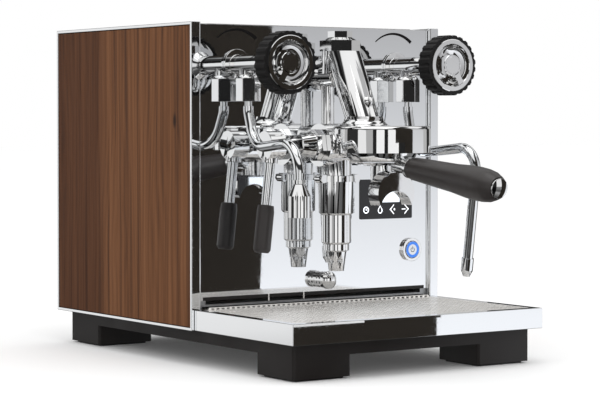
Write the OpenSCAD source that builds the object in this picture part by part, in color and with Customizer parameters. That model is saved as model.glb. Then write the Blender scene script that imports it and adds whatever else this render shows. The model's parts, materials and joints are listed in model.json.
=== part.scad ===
// Countertop espresso machine with a lever group, two rotary valves, two swivel wands and a drip tray.
// Millimetres. +Z is up, the machine faces -Y, and the origin is at the bottom centre of its box.

/* [Housing] */
// Width over the side frames
body_w = 300; // [280:1:360]
// Depth of the housing behind its front edge
body_d = 274; // [260:1:330]
// Height of the housing above the plinth
body_h = 297; // [290:1:360]
// Thickness of a side frame with its wood panel
side_t = 8; // [7:0.5:12]
// Width of the front column on each side frame
column_w = 11; // [10:0.5:16]
// How far the front panel stands back from the columns
panel_recess = 4; // [2:0.5:8]
// Thickness of the sheet metal panels
sheet_t = 1.5; // [1:0.1:2]
// Width of the steel edge that frames a wood panel
edge_w = 3; // [2:0.5:6]
// Thickness of a wood panel
wood_t = 5; // [3:0.5:5.5]

/* [Plinth] */
// Height of the plinth with its feet
base_h = 34; // [30:1:50]
// Height of the skirt between the feet
skirt_h = 12; // [8:1:20]
// How far the plinth stands in from the housing and the tray
base_inset = 11; // [8:1:20]
// Width of a block foot
foot_w = 64; // [40:1:80]
// Depth of a block foot
foot_d = 61; // [40:1:80]
// Thickness of the rubber pad under a foot
pad_t = 2; // [1:0.5:4]

/* [Drip tray] */
// How far the tray stands out in front of the housing
tray_reach = 168; // [150:1:200]
// Height of the tray's steel rim
tray_h = 20; // [18:1:26]
// How far the tray's sides stand in from the housing's sides
tray_inset = 3; // [2:0.5:8]
// Wall of the steel rim
rim_t = 2; // [1.5:0.5:3]
// Width of the flat lip around the grate
lip_w = 9; // [6:0.5:14]
// How far the basin reaches back under the front panel
basin_back = 50; // [30:1:60]
// Number of slots across the grate
grate_slots = 24; // [10:1:30]

/* [Valves and wands] */
// Distance of a valve from the middle of the machine
valve_x = 96.7; // [85:0.5:105]
// Height of the valve axis above the counter
valve_z = 290.5; // [280:0.5:295]
// Radius of the valve body
valve_r = 9.5; // [8:0.5:11]
// Distance of a knob's front face from the housing's front edge
knob_front = 91; // [85:1:105]
// Thickness of the rubber grip around a knob
grip_t = 3.8; // [3:0.1:6]
// Depth of a knob
knob_depth = 19; // [15:0.5:24]
// Outer radius of the chrome ring on a knob
ring_r = 26; // [21:0.5:32]
// Number of grooves around the rubber grip
knob_ribs = 24; // [12:1:30]
// Distance of the wand outlet from the housing's front edge
outlet_y = 18; // [16:0.5:22]
// Width across flats of the wand nut
nut_af = 21; // [20:0.5:24]
// Radius of a wand tube
wand_r = 5; // [4:0.1:5.5]
// Radius of a wand's ball
ball_r = 7.5; // [7:0.25:7.5]
// Turn of the hot water wand away from straight out
left_yaw = 7; // [6:1:30]
// Radius of the hot water nozzle
nozzle_r = 10.6; // [9:0.2:11]

/* [Group] */
// Distance of the brewing axis from the housing's front edge
brew_y = 102.8; // [98:0.2:110]
// Wall of the bell around the portafilter's bowl
bell_wall = 12.5; // [11:0.5:16]
// Height of the bell's lower edge above the counter
bell_z = 205.5; // [204:0.5:207]
// Height of the bell
bell_h = 25.5; // [25:0.5:28]
// Radius of the slanting neck
neck_r = 16.5; // [14:0.5:18]
// Distance of the cam axis from the housing's front edge
cam_y = 29; // [28:0.5:32]
// Height of the cam axis above the counter
cam_z = 212; // [210:0.5:214]
// Radius of the valve block
block_r = 21; // [19:0.5:22]
// Distance of the lever hub from the middle of the machine
lever_x = 77; // [72:0.5:78]
// Length of the lever from the cam axis to its end
lever_len = 104; // [90:1:106]
// Lean of the lever away from the group
lever_lean = 6.5; // [0:0.5:6.5]
// Radius of the upper infusion chamber
chamber_r = 17.5; // [16:0.5:18]

/* [Portafilter] */
// Radius of the filter basket inside
basket_r = 29; // [24:0.5:35]
// Wall of the filter basket
basket_t = 0.6; // [0.5:0.1:0.8]
// Wall of the portafilter's bowl around the basket
bowl_wall = 5.5; // [4.5:0.1:8]
// Slope of the handle below the horizontal
handle_slope = 7; // [0:0.5:10]
// Length of the portafilter from the brewing axis to the end of its handle
handle_reach = 178; // [160:1:190]
// Largest radius of the handle
handle_r = 15.5; // [13:0.5:17]

/* [Controls] */
// Width of the touch display
display_w = 66; // [50:1:70]
// Height of the touch display
display_h = 40.5; // [34:0.5:44]
// Radius of the power button's bezel
bezel_r = 12; // [11:0.25:13]

/* [Inside] */
// Radius of the boiler
boiler_r = 50; // [44:1:52]
// Length of the boiler shell
boiler_len = 170; // [140:1:180]
// Wall of the boiler
boiler_t = 2; // [1.5:0.5:3]
// Width of the control box
box_w = 50; // [40:1:70]
// Depth of the water tank
tank_d = 88; // [70:1:90]

/* [Hidden] */
$fn = 64;

// Clearances: between parts that are fixed together, and for a shaft that turns
fit = 0.2;
run = 0.08;
gap = 0.3; // between pieces on different bodies

// Housing planes
half_w = body_w / 2;
body_top = base_h + body_h;
inner_x = half_w - side_t; // inner face of a side frame
panel_y = panel_recess; // front face of the front panel
panel_back = panel_y + sheet_t;
tray_top = base_h + tray_h;
panel_bottom = tray_top + 8; // a dark slot is left over the tray
top_deck_z = body_top - 2; // top of the front panel and of the deck
deck_t = 3;
cover_y = body_d - 1.6; // back face of the back cover, which stands in from the side frames
floor_z = base_h + 22; // top of the basin's channel
floor_t = 2;

// Knob, bowl and bell
knob_r = ring_r + grip_t;
bowl_r = basket_r + bowl_wall;
bell_r = bowl_r + bell_wall;

// Brewing axis, cam axis and neck
bell_top = bell_z + bell_h;
neck_lean = 25.8;
neck_foot = [0, -74.7, bell_top]; // where the neck's axis meets the top of the bell
neck_rise = 72;
cap_y = 34.6;
cap_z = 304; // underside of the cap's hexagon
upper_port_z = 283;
port_r = 9; // pipe ports through the front panel
spout_z = 193; // underside of the bowl

// Wand joint
ball_z = valve_z - 29;
nut_low = ball_z - 7;
nut_high = valve_z - 13.5;
boss_r = nut_af / 2 - 1.6;
boss_end = ball_z + ball_r + 0.8;
neck_tube_r = wand_r - 1.4;
tube_start = ball_z - 11.5;

// Portafilter
ear_z = bell_z + 4;
rim_z = bell_z + 11; // top of the bowl's rim
arm_z = 197.4; // height of the handle's axis at the brewing axis
cap_dome_r = 28; // sphere radius of the handle's end cap
cap_r = 9.2;

// The box that the origin is centred in
front_y = -brew_y - (handle_reach - cap_dome_r) * cos(handle_slope) - cap_dome_r;
mid_y = (front_y + body_d) / 2;
module place() translate([0, -mid_y, 0]) children();

// Finishes
steel = "#d5d7d8";
chrome = "#e8eaec";
black = "#1b1a1a";
walnut = "#5d3a24";
copper = "#b87040";

// ---- Shared shapes ----

// A flat bar of size [x, y] with round corners
module round_rect(size, r) {
    translate([-size.x / 2 + r, -size.y / 2]) square([size.x - 2 * r, size.y]);
    translate([-size.x / 2, -size.y / 2 + r]) square([size.x, size.y - 2 * r]);
    for (sx = [-1, 1], sy = [-1, 1])
        translate([sx * (size.x / 2 - r), sy * (size.y / 2 - r)]) circle(r);
}

// A cylinder along Y from front to back
module y_rod(r, front, back, at = [0, 0])
    translate([at.x, back, at.y]) rotate([90, 0, 0]) cylinder(r = r, h = back - front);

// A cylinder along X from left to right
module x_rod(r, left, right, at = [0, 0])
    translate([left, at.x, at.y]) rotate([0, 90, 0]) cylinder(r = r, h = right - left);

// A hexagon bar across flats af
module hex_bar(af, h) cylinder(r = af / sqrt(3), h = h, $fn = 6);

// A plate in the XZ plane, its front face at y
module wall_plate(y, t) translate([0, y + t, 0]) rotate([90, 0, 0]) linear_extrude(t) children();

// A round bend: r is the tube, bend its centreline radius, turn the angle towards +X from +Z
module elbow(r, bend, turn)
    translate([turn > 0 ? bend : -bend, 0, 0]) mirror([turn > 0 ? 0 : 1, 0, 0])
        rotate([90, 0, 0]) rotate([0, 0, 180 - abs(turn)]) rotate_extrude(angle = abs(turn))
            translate([bend, 0]) circle(r);

// Straight runs and bends, each step [length, turn, bend radius], from the origin along +Z.
// A bead that is a little wider than the tube closes each joint between a run and a bend.
bead = 0.15;
module tube_run(steps, r, i = 0) {
    if (i < len(steps)) {
        length = steps[i][0];
        turn = steps[i][1];
        bend = steps[i][2];
        cylinder(r = r, h = length);
        if (i > 0) sphere(r + bead);
        translate([0, 0, length]) {
            if (turn != 0) {
                sphere(r + bead);
                elbow(r, bend, turn);
            }
            translate([(turn > 0 ? 1 : -1) * bend * (1 - cos(turn)), 0, bend * sin(abs(turn))])
                rotate([0, turn, 0]) tube_run(steps, r, i + 1);
        }
    }
}

// ---- Plinth ----

plinth_w = body_w - 2 * base_inset;
plinth_front = -tray_reach + base_inset;
plinth_back = body_d - base_inset;
plinth_d = plinth_back - plinth_front;
foot_x = plinth_w / 2 - foot_w / 2;
foot_front = plinth_front + foot_d / 2;
foot_back = plinth_back - foot_d / 2;

module base_plinth() {
    wall = 3;
    color(black) difference() {
        union() {
            translate([0, (plinth_front + plinth_back) / 2, base_h - skirt_h])
                linear_extrude(skirt_h) round_rect([plinth_w, plinth_d], 3);
            for (sx = [-1, 1], y = [foot_front, foot_back])
                translate([sx * foot_x, y, pad_t]) linear_extrude(base_h - pad_t)
                    round_rect([foot_w, foot_d], 3);
        }
        translate([0, (plinth_front + plinth_back) / 2, base_h - skirt_h - 1])
            linear_extrude(skirt_h - wall + 1)
                square([plinth_w - 2 * foot_w - 8, plinth_d - 2 * wall], center = true);
        translate([0, (plinth_front + plinth_back) / 2, base_h - skirt_h - 1])
            linear_extrude(skirt_h - wall + 1)
                square([plinth_w - 2 * wall, plinth_d - 2 * foot_d - 8], center = true);
    }
}

module foot_pads()
    color("#26282a") for (sx = [-1, 1], y = [foot_front, foot_back])
        translate([sx * foot_x, y, 0]) linear_extrude(pad_t) round_rect([foot_w - 8, foot_d - 8], 4);

// ---- Housing ----

// Inner frame: floor, two side rails down to the plinth and four posts
post_w = 10;
post_top = top_deck_z - deck_t;
rail_x = inner_x - 1;
screw_x = rail_x - post_w / 2;
screw_heights = [floor_z + 12, top_deck_z - 14];
screw_r = 1.6;
screw_len = 8;
module chassis_frame() {
    rail_t = 6;
    frame_back = cover_y - sheet_t;
    frame_d = frame_back - panel_back;
    color("#8d9092") difference() {
        union() {
            translate([-rail_x, panel_back, floor_z]) cube([2 * rail_x, frame_d, floor_t]);
            for (sx = [-1, 1]) translate([sx > 0 ? rail_x - rail_t : -rail_x, panel_back, base_h])
                cube([rail_t, frame_d, floor_z - base_h]);
            for (sx = [-1, 1], y = [panel_back, frame_back - post_w])
                translate([sx > 0 ? rail_x - post_w : -rail_x, y, floor_z])
                    cube([post_w, post_w, post_top - floor_z]);
        }
        // air holes in the floor, and the screws' holes in the back posts
        for (x = [-60, 0, 60], y = [0.35, 0.6])
            translate([x, y * body_d, floor_z - 1]) cylinder(r = 6, h = floor_t + 2);
        for (sx = [-1, 1], z = screw_heights)
            y_rod(screw_r + fit, frame_back - screw_len - 1, frame_back + 1, [sx * screw_x, z]);
    }
}

// The left frame; the right one is its mirror image
module side_frame() {
    pocket = wood_t + 0.6;
    round_r = 2;
    color(steel) difference() {
        union() {
            translate([-half_w, 0, base_h]) cube([side_t, body_d, body_h]);
            translate([-half_w, 0, base_h]) linear_extrude(body_h) {
                square([column_w - round_r, post_w / 2]);
                translate([0, round_r]) square([column_w, post_w / 2 - round_r]);
                translate([column_w - round_r, round_r]) circle(round_r);
            }
        }
        translate([-half_w - 1, edge_w, base_h + edge_w])
            cube([pocket + 1, body_d - 2 * edge_w, body_h - 2 * edge_w]);
    }
}

module wood_panel() {
    slack = 0.4;
    color(walnut) translate([-half_w + 0.6, edge_w + slack, base_h + edge_w + slack])
        cube([wood_t - fit, body_d - 2 * (edge_w + slack), body_h - 2 * (edge_w + slack)]);
}

panel_w = body_w - 2 * column_w - 2 * fit;
display_x = half_w - 64.6;
display_z = base_h + 121.8;
button_x = half_w - 33;
button_z = base_h + 69;
outlet_z = base_h + 43;
outlet_x = 4;
module front_panel() {
    color(chrome) wall_plate(panel_y, sheet_t) difference() {
        translate([-panel_w / 2, panel_bottom]) square([panel_w, top_deck_z - panel_bottom]);
        for (sx = [-1, 1]) translate([sx * valve_x, valve_z]) circle(valve_r - 2 + fit);
        for (z = [cam_z, upper_port_z]) translate([0, z]) circle(port_r + fit);
        translate([display_x, display_z]) square([display_w - 8, display_h - 8], center = true);
        translate([button_x, button_z]) circle(bezel_r - 3 + fit);
        translate([outlet_x, outlet_z]) circle(5 + fit);
    }
}

vent_count = 9;
inlet_x = -half_w + 45;
inlet_z = floor_z + 26;
inlet_w = 27.5;
inlet_h = 20;
module back_cover() {
    color(steel) wall_plate(cover_y - sheet_t, sheet_t) difference() {
        translate([-inner_x + fit, base_h]) square([2 * (inner_x - fit), top_deck_z - base_h]);
        for (i = [0:vent_count - 1], sx = [-1, 1])
            translate([sx * body_w / 5, body_top - 60 - 12 * i]) round_rect([70, 4], 1.9);
        translate([inlet_x, inlet_z]) square([inlet_w + 2 * fit, inlet_h + 2 * fit], center = true);
        for (sx = [-1, 1], z = screw_heights) translate([sx * screw_x, z]) circle(screw_r + fit);
    }
}

// The fixed deck around the cup tray
deck_front = panel_back + fit;
deck_back = cover_y - sheet_t - fit;
tray_open_w = 2 * inner_x - 34;
tray_open_front = deck_front + 14;
tray_open_d = deck_back - deck_front - 28;
module top_frame() {
    color(chrome) translate([0, 0, top_deck_z - deck_t]) linear_extrude(deck_t) difference() {
        translate([-inner_x + fit, deck_front]) square([2 * (inner_x - fit), deck_back - deck_front]);
        translate([0, tray_open_front + tray_open_d / 2]) round_rect([tray_open_w, tray_open_d], 6);
    }
}

// The lift-off cup tray: a rim that lies on the deck and a slotted pan
pan_depth = 9;
module cup_tray() {
    slots = 11;
    pan_w = tray_open_w - 1;
    pan_d = tray_open_d - 1;
    translate([0, tray_open_front + tray_open_d / 2, 0]) color(steel) difference() {
        union() {
            translate([0, 0, top_deck_z]) linear_extrude(1.2) difference() {
                round_rect([tray_open_w + 10, tray_open_d + 10], 10);
                round_rect([pan_w - 3, pan_d - 3], 5);
            }
            translate([0, 0, top_deck_z - pan_depth]) linear_extrude(pan_depth) difference() {
                round_rect([pan_w, pan_d], 6);
                round_rect([pan_w - 3, pan_d - 3], 5);
            }
            translate([0, 0, top_deck_z - pan_depth]) linear_extrude(1.5) round_rect([pan_w, pan_d], 6);
        }
        for (i = [0:slots - 1], sx = [-1, 1])
            translate([sx * pan_w / 4, (i - (slots - 1) / 2) * pan_d / (slots + 1), top_deck_z - pan_depth - 1])
                linear_extrude(4) round_rect([pan_w / 2 - 22, 6], 2.9);
    }
}

// Four screws that hold the back cover to the frame's posts
module shell_screws() {
    head_r = 3.2;
    head_t = 1.4;
    color("#b9bcbe") for (sx = [-1, 1], z = screw_heights) {
        y_rod(screw_r, cover_y - sheet_t - screw_len, cover_y, [sx * screw_x, z]);
        y_rod(head_r, cover_y, cover_y + head_t, [sx * screw_x, z]);
    }
}

// ---- Drip tray ----

tray_x = half_w - tray_inset;
tray_low = base_h + gap;
tray_back = -0.6;
basin_x = tray_x - rim_t - 1;
grate_t = 2;
module drip_tray_rim() {
    color(chrome) difference() {
        translate([-tray_x, -tray_reach, tray_low])
            cube([2 * tray_x, tray_reach + tray_back, tray_top - tray_low]);
        // room for the basin
        translate([-tray_x + rim_t, -tray_reach + rim_t, tray_low - 1])
            cube([2 * (tray_x - rim_t), tray_reach, tray_top - tray_low - rim_t + 1]);
        // the opening that the grate drops into
        translate([-tray_x + lip_w, -tray_reach + lip_w, tray_low])
            cube([2 * (tray_x - lip_w), tray_reach, tray_top]);
    }
}

module drip_basin() {
    wall = 2;
    low = tray_low + 0.4;
    high = tray_top - rim_t - fit;
    front = -tray_reach + rim_t + 1;
    color("#3a3b3c") difference() {
        union() {
            translate([-basin_x, front, low]) cube([2 * basin_x, -front - 4, high - low]);
            translate([-inner_x + 12, -6, low]) cube([2 * (inner_x - 12), basin_back + 6, high - low - 2]);
        }
        translate([-basin_x + wall, front + wall, low + wall]) cube([2 * (basin_x - wall), -front - 4 - 2 * wall, high]);
        translate([-inner_x + 12 + wall, -8, low + wall])
            cube([2 * (inner_x - 12 - wall), basin_back + 8 - wall, high]);
    }
}

grate_w = 2 * (tray_x - lip_w) - 1;
grate_front = -tray_reach + lip_w + 0.5;
grate_d = -grate_front - 4;
module drip_grate() {
    rows = 3;
    pitch = (grate_w - 10) / grate_slots;
    slot_len = (grate_d - 12) / rows - 6;
    color(steel) difference() {
        translate([-grate_w / 2, grate_front, tray_top - grate_t]) cube([grate_w, grate_d, grate_t]);
        for (i = [0:grate_slots - 1], j = [0:rows - 1])
            translate([(i - (grate_slots - 1) / 2) * pitch,
                       grate_front + 6 + (j + 0.5) * (grate_d - 12) / rows, tray_top - grate_t - 1])
                linear_extrude(grate_t + 2) round_rect([5, slot_len], 2.4);
    }
    // bearers under the grate rest on the basin's floor
    color(steel) for (sx = [-1, 1], y = [0.2, 0.8])
        translate([sx * (grate_w / 2 - 12) - 3, grate_front + y * grate_d - 3, tray_low + 2.4 + gap])
            cube([6, 6, tray_top - grate_t - tray_low - 2.4 - gap]);
}

// ---- Controls ----

glass_t = 1.2;
module touch_display()
    color("#141516") wall_plate(panel_y - glass_t, glass_t)
        translate([display_x, display_z]) round_rect([display_w, display_h], 1.5);

module display_module()
    color("#2d3033") wall_plate(panel_y, 14)
        translate([display_x, display_z]) square([display_w - 9, display_h - 9], center = true);

bezel_proud = 3.6;
button_r = bezel_r - 3.4;
module button_bezel() {
    color(chrome) difference() {
        union() {
            y_rod(bezel_r, panel_y - bezel_proud, panel_y, [button_x, button_z]);
            y_rod(bezel_r - 3, panel_y, panel_y + 24, [button_x, button_z]);
        }
        y_rod(button_r + gap, panel_y - bezel_proud - 1, panel_y + 1.4, [button_x, button_z]);
        y_rod(4, panel_y, panel_y + 8, [button_x, button_z]);
    }
}

module power_button()
    color("#5aa9e6") {
        y_rod(button_r, panel_y - bezel_proud - 0.6, panel_y - 1, [button_x, button_z]);
        y_rod(3.6, panel_y - 1, panel_y + 5, [button_x, button_z]);
    }

// ---- Valves ----

bonnet_front = -knob_front + knob_depth + 5;
bonnet_back = bonnet_front + 14;
stem_r = 4;
module valve_bodies() {
    color(chrome) for (sx = [-1, 1]) translate([sx * valve_x, 0, 0]) difference() {
        union() {
            y_rod(valve_r, bonnet_back, panel_y - fit, [0, valve_z]);
            y_rod(valve_r + 5.5, panel_y - 3.2, panel_y - fit, [0, valve_z]);
            y_rod(valve_r - 2, panel_y - fit, panel_back + 20, [0, valve_z]);
            translate([0, -outlet_y, boss_end]) cylinder(r = boss_r, h = valve_z - boss_end);
        }
        y_rod(stem_r + run, bonnet_back - 1, -outlet_y - 6, [0, valve_z]);
        translate([0, -outlet_y, boss_end - 1]) cylinder(r = 2.5, h = valve_z - boss_end);
    }
}

module valve_bonnets() {
    color(chrome) for (sx = [-1, 1]) translate([sx * valve_x, 0, valve_z]) rotate([90, 0, 0])
        translate([0, 0, -bonnet_back]) difference() {
            union() {
                cylinder(r1 = valve_r, r2 = valve_r + 4.5, h = 8);
                translate([0, 0, 8]) cylinder(r = valve_r + 4.5, h = 2.5);
                translate([0, 0, 10.5]) cylinder(r = valve_r - 1, h = 3.5);
            }
            translate([0, 0, -1]) cylinder(r = stem_r + run, h = 16);
        }
}

module wand_nuts() {
    mouth_r = ball_r - 1.5;
    color(chrome) for (sx = [-1, 1]) translate([sx * valve_x, -outlet_y, 0]) difference() {
        translate([0, 0, nut_low]) rotate([0, 0, 29]) hex_bar(nut_af, nut_high - nut_low);
        translate([0, 0, ball_z]) cylinder(r = boss_r + fit / 2, h = nut_high);
        translate([0, 0, ball_z]) sphere(ball_r + gap);
        translate([0, 0, ball_z - 10]) cylinder(r = mouth_r, h = 10);
    }
}

module valve_stem(side)
    color(steel) y_rod(stem_r, -knob_front + 6, -outlet_y - 8, [side * valve_x, valve_z]);

// A knob's chrome core: a front ring, a dished plate, a hub and one spoke as a pointer
dish_depth = 11;
module knob_core(side) {
    ring_in = ring_r - 5;
    hub_r = 11;
    plate_t = 2;
    color(chrome) translate([side * valve_x, -knob_front, valve_z]) rotate([-90, 0, 0]) difference() {
        union() {
            rotate_extrude() polygon([[hub_r, dish_depth], [hub_r + 4, dish_depth], [ring_in, 1], [ring_in, 0],
                [ring_r, 0], [ring_r, knob_depth - 1], [ring_r - 6, knob_depth],
                [hub_r, knob_depth]]);
            cylinder(r = hub_r, h = knob_depth);
            rotate([0, 0, 90 - side * 32]) translate([hub_r - 1, -3, 0])
                cube([ring_in - hub_r + 2, 6, dish_depth + 2]);
        }
        // a shallow recess in the hub's face, and the stem's socket
        translate([0, 0, -1]) cylinder(r = hub_r - 2, h = 1 + plate_t / 2);
        translate([0, 0, 6 - fit]) cylinder(r = stem_r + fit, h = knob_depth);
    }
}

module knob_grip(side) {
    groove_r = 2.4;
    groove_depth = 1.2;
    color(black) translate([side * valve_x, -knob_front + 1, valve_z]) rotate([-90, 0, 0])
        linear_extrude(knob_depth - 2) difference() {
            circle(knob_r);
            circle(ring_r + fit / 2);
            for (i = [0:knob_ribs - 1]) rotate(360 * i / knob_ribs)
                translate([knob_r + groove_r - groove_depth, 0]) circle(groove_r, $fn = 24);
        }
}

// ---- Wands ----

module ball_seat(side)
    color("#f2f2ee") translate([side * valve_x, -outlet_y, ball_z]) difference() {
        cylinder(r = boss_r - fit, h = ball_r + 0.5);
        translate([0, 0, -1]) cylinder(r = 2.8, h = ball_r + 3);
        sphere(ball_r + gap);
        translate([0, 0, -1]) cylinder(r = boss_r, h = 4);
    }

// Moves what is drawn along +Z, bending towards +X, to hang down and bend out to the front
module hang(side, yaw) translate([side * valve_x, -outlet_y, tube_start])
    rotate([0, 0, side * yaw]) rotate([0, 0, 90]) rotate([180, 0, 0]) rotate([0, 0, 180]) children();

module wand(side, yaw, steps) {
    color("#cfd0d2") {
        translate([side * valve_x, -outlet_y, 0]) {
            translate([0, 0, ball_z]) sphere(ball_r);
            translate([0, 0, tube_start]) cylinder(r = neck_tube_r, h = ball_z - tube_start);
        }
        hang(side, yaw) tube_run(steps, wand_r);
    }
}

water_steps = [[3, 22.7, 14], [12.9, 71.9, 30], [38.7, -94.6, 29.6], [5.2, 0, 0]];
steam_steps = [[3, 12, 16], [21, 83, 24], [54.7, -103, 22], [86.5, 0, 0]];

// The end of a run of steps, as [outward, down, slope], worked out one step at a time
function run_end(steps, i = 0, at = [0, 0, 0]) = i == len(steps) ? at :
    let (s = steps[i], a = at[2], b = a + s[1], k = s[1] >= 0 ? 1 : -1,
         straight = [at[0] + s[0] * sin(a), at[1] + s[0] * cos(a)])
    run_end(steps, i + 1, [straight[0] + k * s[2] * (cos(a) - cos(b)),
                           straight[1] + k * s[2] * (sin(b) - sin(a)), b]);

// Puts a tip at a wand's end, drawn along +Z
module at_end(side, yaw, steps) {
    end = run_end(steps);
    hang(side, yaw) translate([end[0], 0, end[1]]) rotate([0, end[2], 0]) children();
}

module hot_water_nozzle()
    color(chrome) at_end(-1, left_yaw, water_steps) difference() {
        union() {
            translate([0, 0, -2]) cylinder(r = wand_r + 1.2, h = 4);
            translate([0, 0, 2]) cylinder(r1 = wand_r + 0.6, r2 = nozzle_r, h = 11);
            translate([0, 0, 13]) cylinder(r = nozzle_r, h = 20);
        }
        translate([0, 0, -3]) cylinder(r = wand_r + fit / 2, h = 3);
        translate([0, 0, -0.01]) cylinder(r = 3, h = 30);
        translate([0, 0, 26]) cylinder(r = nozzle_r - 1.6, h = 8);
    }

module steam_tip()
    color(chrome) at_end(1, 0, steam_steps) difference() {
        union() {
            translate([0, 0, -3]) cylinder(r = wand_r + 1, h = 11);
            translate([0, 0, 8]) cylinder(r1 = wand_r + 1, r2 = 3.4, h = 7);
            translate([0, 0, 8]) sphere(wand_r + 1);
        }
        translate([0, 0, -4]) cylinder(r = wand_r + fit / 2, h = 4);
        translate([0, 0, -1]) cylinder(r = 2, h = 9);
        for (i = [0:3]) rotate([0, 0, 90 * i]) translate([1.6, 0, 4]) rotate([0, 22, 0]) cylinder(r = 0.8, h = 14);
    }

// ---- Group ----

seat_z = bell_z + 20.5; // ceiling of the bell's cavity
ear_r = bowl_r + 4.4;
lip_r = bowl_r + 1.4;
module group_body() {
    color(chrome) difference() {
        union() {
            // the bell, with a round upper edge
            translate([0, -brew_y, 0]) rotate_extrude() {
                translate([0, bell_z]) square([bell_r, bell_h - 4]);
                translate([0, bell_z]) square([bell_r - 4, bell_h]);
                translate([bell_r - 4, bell_top - 4]) circle(4);
            }
            translate(neck_foot - [0, 0, 2]) rotate_extrude() polygon([[0, 0], [neck_r + 10, 0], [neck_r + 10, 2],
                [neck_r + 6, 3.6], [neck_r + 3.4, 6.4], [neck_r + 2, 11], [0, 11]]);
            translate(neck_foot) rotate([-neck_lean, 0, 0]) cylinder(r = neck_r, h = neck_rise + 8);
            // the head under the cap, and the barrel back to the panel
            translate([0, -cap_y, cap_z - 22]) cylinder(r = neck_r + 1, h = 22);
            y_rod(14, -cap_y, panel_y - fit, [0, upper_port_z]);
            y_rod(18, -10, -2, [0, upper_port_z]);
            // the rear column, the valve block and the bridge to the bell
            translate([0, -14, cam_z]) cylinder(r = 6.5, h = upper_port_z - cam_z);
            x_rod(block_r, -block_r - 0.5, block_r + 0.5, [-cam_y, cam_z]);
            x_rod(12, block_r + 0.5, block_r + 8, [-cam_y, cam_z]);
            y_rod(16, -brew_y + bell_r - 8, panel_y - fit, [0, cam_z + 3]);
            y_rod(20, -3, panel_y - fit, [0, cam_z]);
            translate([0, -cam_y, cam_z - 30]) cylinder(r = 15, h = 30);
            for (z = [cam_z, upper_port_z]) y_rod(port_r, panel_y - 1, panel_back + 8, [0, z]);
        }
        // the cavity for the portafilter, its lip and the two ways in for its ears
        translate([0, -brew_y, ear_z - 1]) cylinder(r = ear_r + 1, h = seat_z - ear_z + 1);
        translate([0, -brew_y, bell_z - 1]) cylinder(r = lip_r, h = 10);
        translate([0, -brew_y, bell_z - 1]) rotate([0, 0, -45])
            cube([2 * (ear_r + 0.8), 22, 12], center = true);
        // the cam's bore, the water way down to the screen and the seats for cap and plug
        x_rod(stem_r + 1 + run, -block_r - 2, block_r - 6, [-cam_y, cam_z]);
        translate([0, -brew_y, seat_z - 1]) cylinder(r = 3, h = 4);
        for (z = [cam_z, upper_port_z]) y_rod(4, -12, panel_back + 9, [0, z]);
        translate([0, -cam_y, cam_z - 31]) cylinder(r = 8, h = 14);
        translate([0, -cap_y, cap_z]) cylinder(r = 3 * neck_r, h = neck_r);
        jet_socket();
    }
}

// The small plug in the front of the neck
module jet_axis() translate(neck_foot) rotate([-neck_lean, 0, 0]) translate([0, 0, 18.5]) rotate([90, 0, 0]) children();
module jet_socket() jet_axis() cylinder(r = 2.6, h = neck_r + 5);
module group_jet_plug() color(chrome) jet_axis() {
    translate([0, 0, 6]) cylinder(r = 2.5, h = neck_r - 6);
    translate([0, 0, neck_r + fit / 2]) cylinder(r = 4.9, h = 1.6);
    translate([0, 0, neck_r + fit / 2 + 1.6]) cylinder(r1 = 4.9, r2 = 2.9, h = 1.9);
    translate([0, 0, neck_r - 2]) cylinder(r = 2.5, h = 3);
}

module group_cap() {
    color(chrome) translate([0, -cap_y, cap_z]) rotate([0, 0, 29]) {
        hex_bar(34.6, 10.5);
        translate([0, 0, 10.5]) cylinder(r1 = 17.2, r2 = 12, h = 3);
        translate([0, 0, 13.5]) hex_bar(21, 6.1);
    }
}

// Height of the gasket's lower face: just clear of the basket's rim
gasket_z = rim_z + 0.8 + gap;
module group_gasket()
    color("#2b2c2e") translate([0, -brew_y, gasket_z]) difference() {
        cylinder(r = bowl_r + 1.5, h = seat_z - gasket_z);
        translate([0, 0, -1]) cylinder(r = basket_r + 0.8, h = 20);
    }

module shower_screen() {
    color(steel) translate([0, -brew_y, rim_z - 1]) difference() {
        cylinder(r = basket_r - 0.8, h = seat_z - rim_z + 1);
        translate([0, 0, 1]) cylinder(r = basket_r - 2, h = seat_z);
        for (ring = [1:3], i = [0:6 * ring - 1]) rotate([0, 0, 60 * i / ring])
            translate([7.5 * ring, 0, -1]) cylinder(r = 1.2, h = 3, $fn = 16);
    }
}

module cam_nut() {
    color(chrome) translate([-block_r - 0.5 - fit, -cam_y, cam_z]) rotate([0, -90, 0]) difference() {
        union() {
            rotate([0, 0, 10]) hex_bar(27, 10);
            translate([0, 0, 10]) cylinder(r1 = 13, r2 = 10, h = 14);
            translate([0, 0, 24]) rotate([0, 0, 10]) hex_bar(17, 15);
        }
        translate([0, 0, -1]) cylinder(r = stem_r + 1 + run, h = 42);
    }
}

// ---- Brew lever ----

hub_r = 14;
hub_len = 17;
module lever_hub() {
    shaft_r = stem_r + 1;
    color(chrome) difference() {
        union() {
            x_rod(hub_r, -lever_x - hub_len / 2, -lever_x + hub_len / 2, [-cam_y, cam_z]);
            x_rod(shaft_r, -lever_x, block_r - 8, [-cam_y, cam_z]);
            lever_axis() cylinder(r = hub_len / 2 - 1, h = hub_r + 3);
        }
        lever_axis() translate([0, 0, 4]) cylinder(r = 4 + fit / 2, h = 30);
    }
}

module lever_axis() translate([-lever_x, -cam_y, cam_z]) rotate([0, 180 + lever_lean, 0]) children();

grip_len = 46;
module lever_rod() color("#cfd0d2") lever_axis() {
    translate([0, 0, 4 + fit]) cylinder(r = 4, h = 20);
    translate([0, 0, hub_r + 3 + fit]) cylinder(r = 5, h = lever_len - grip_len - hub_r - 3 - 2 * fit);
    translate([0, 0, lever_len - grip_len - fit - 1]) cylinder(r = 3.5, h = 30);
}

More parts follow.
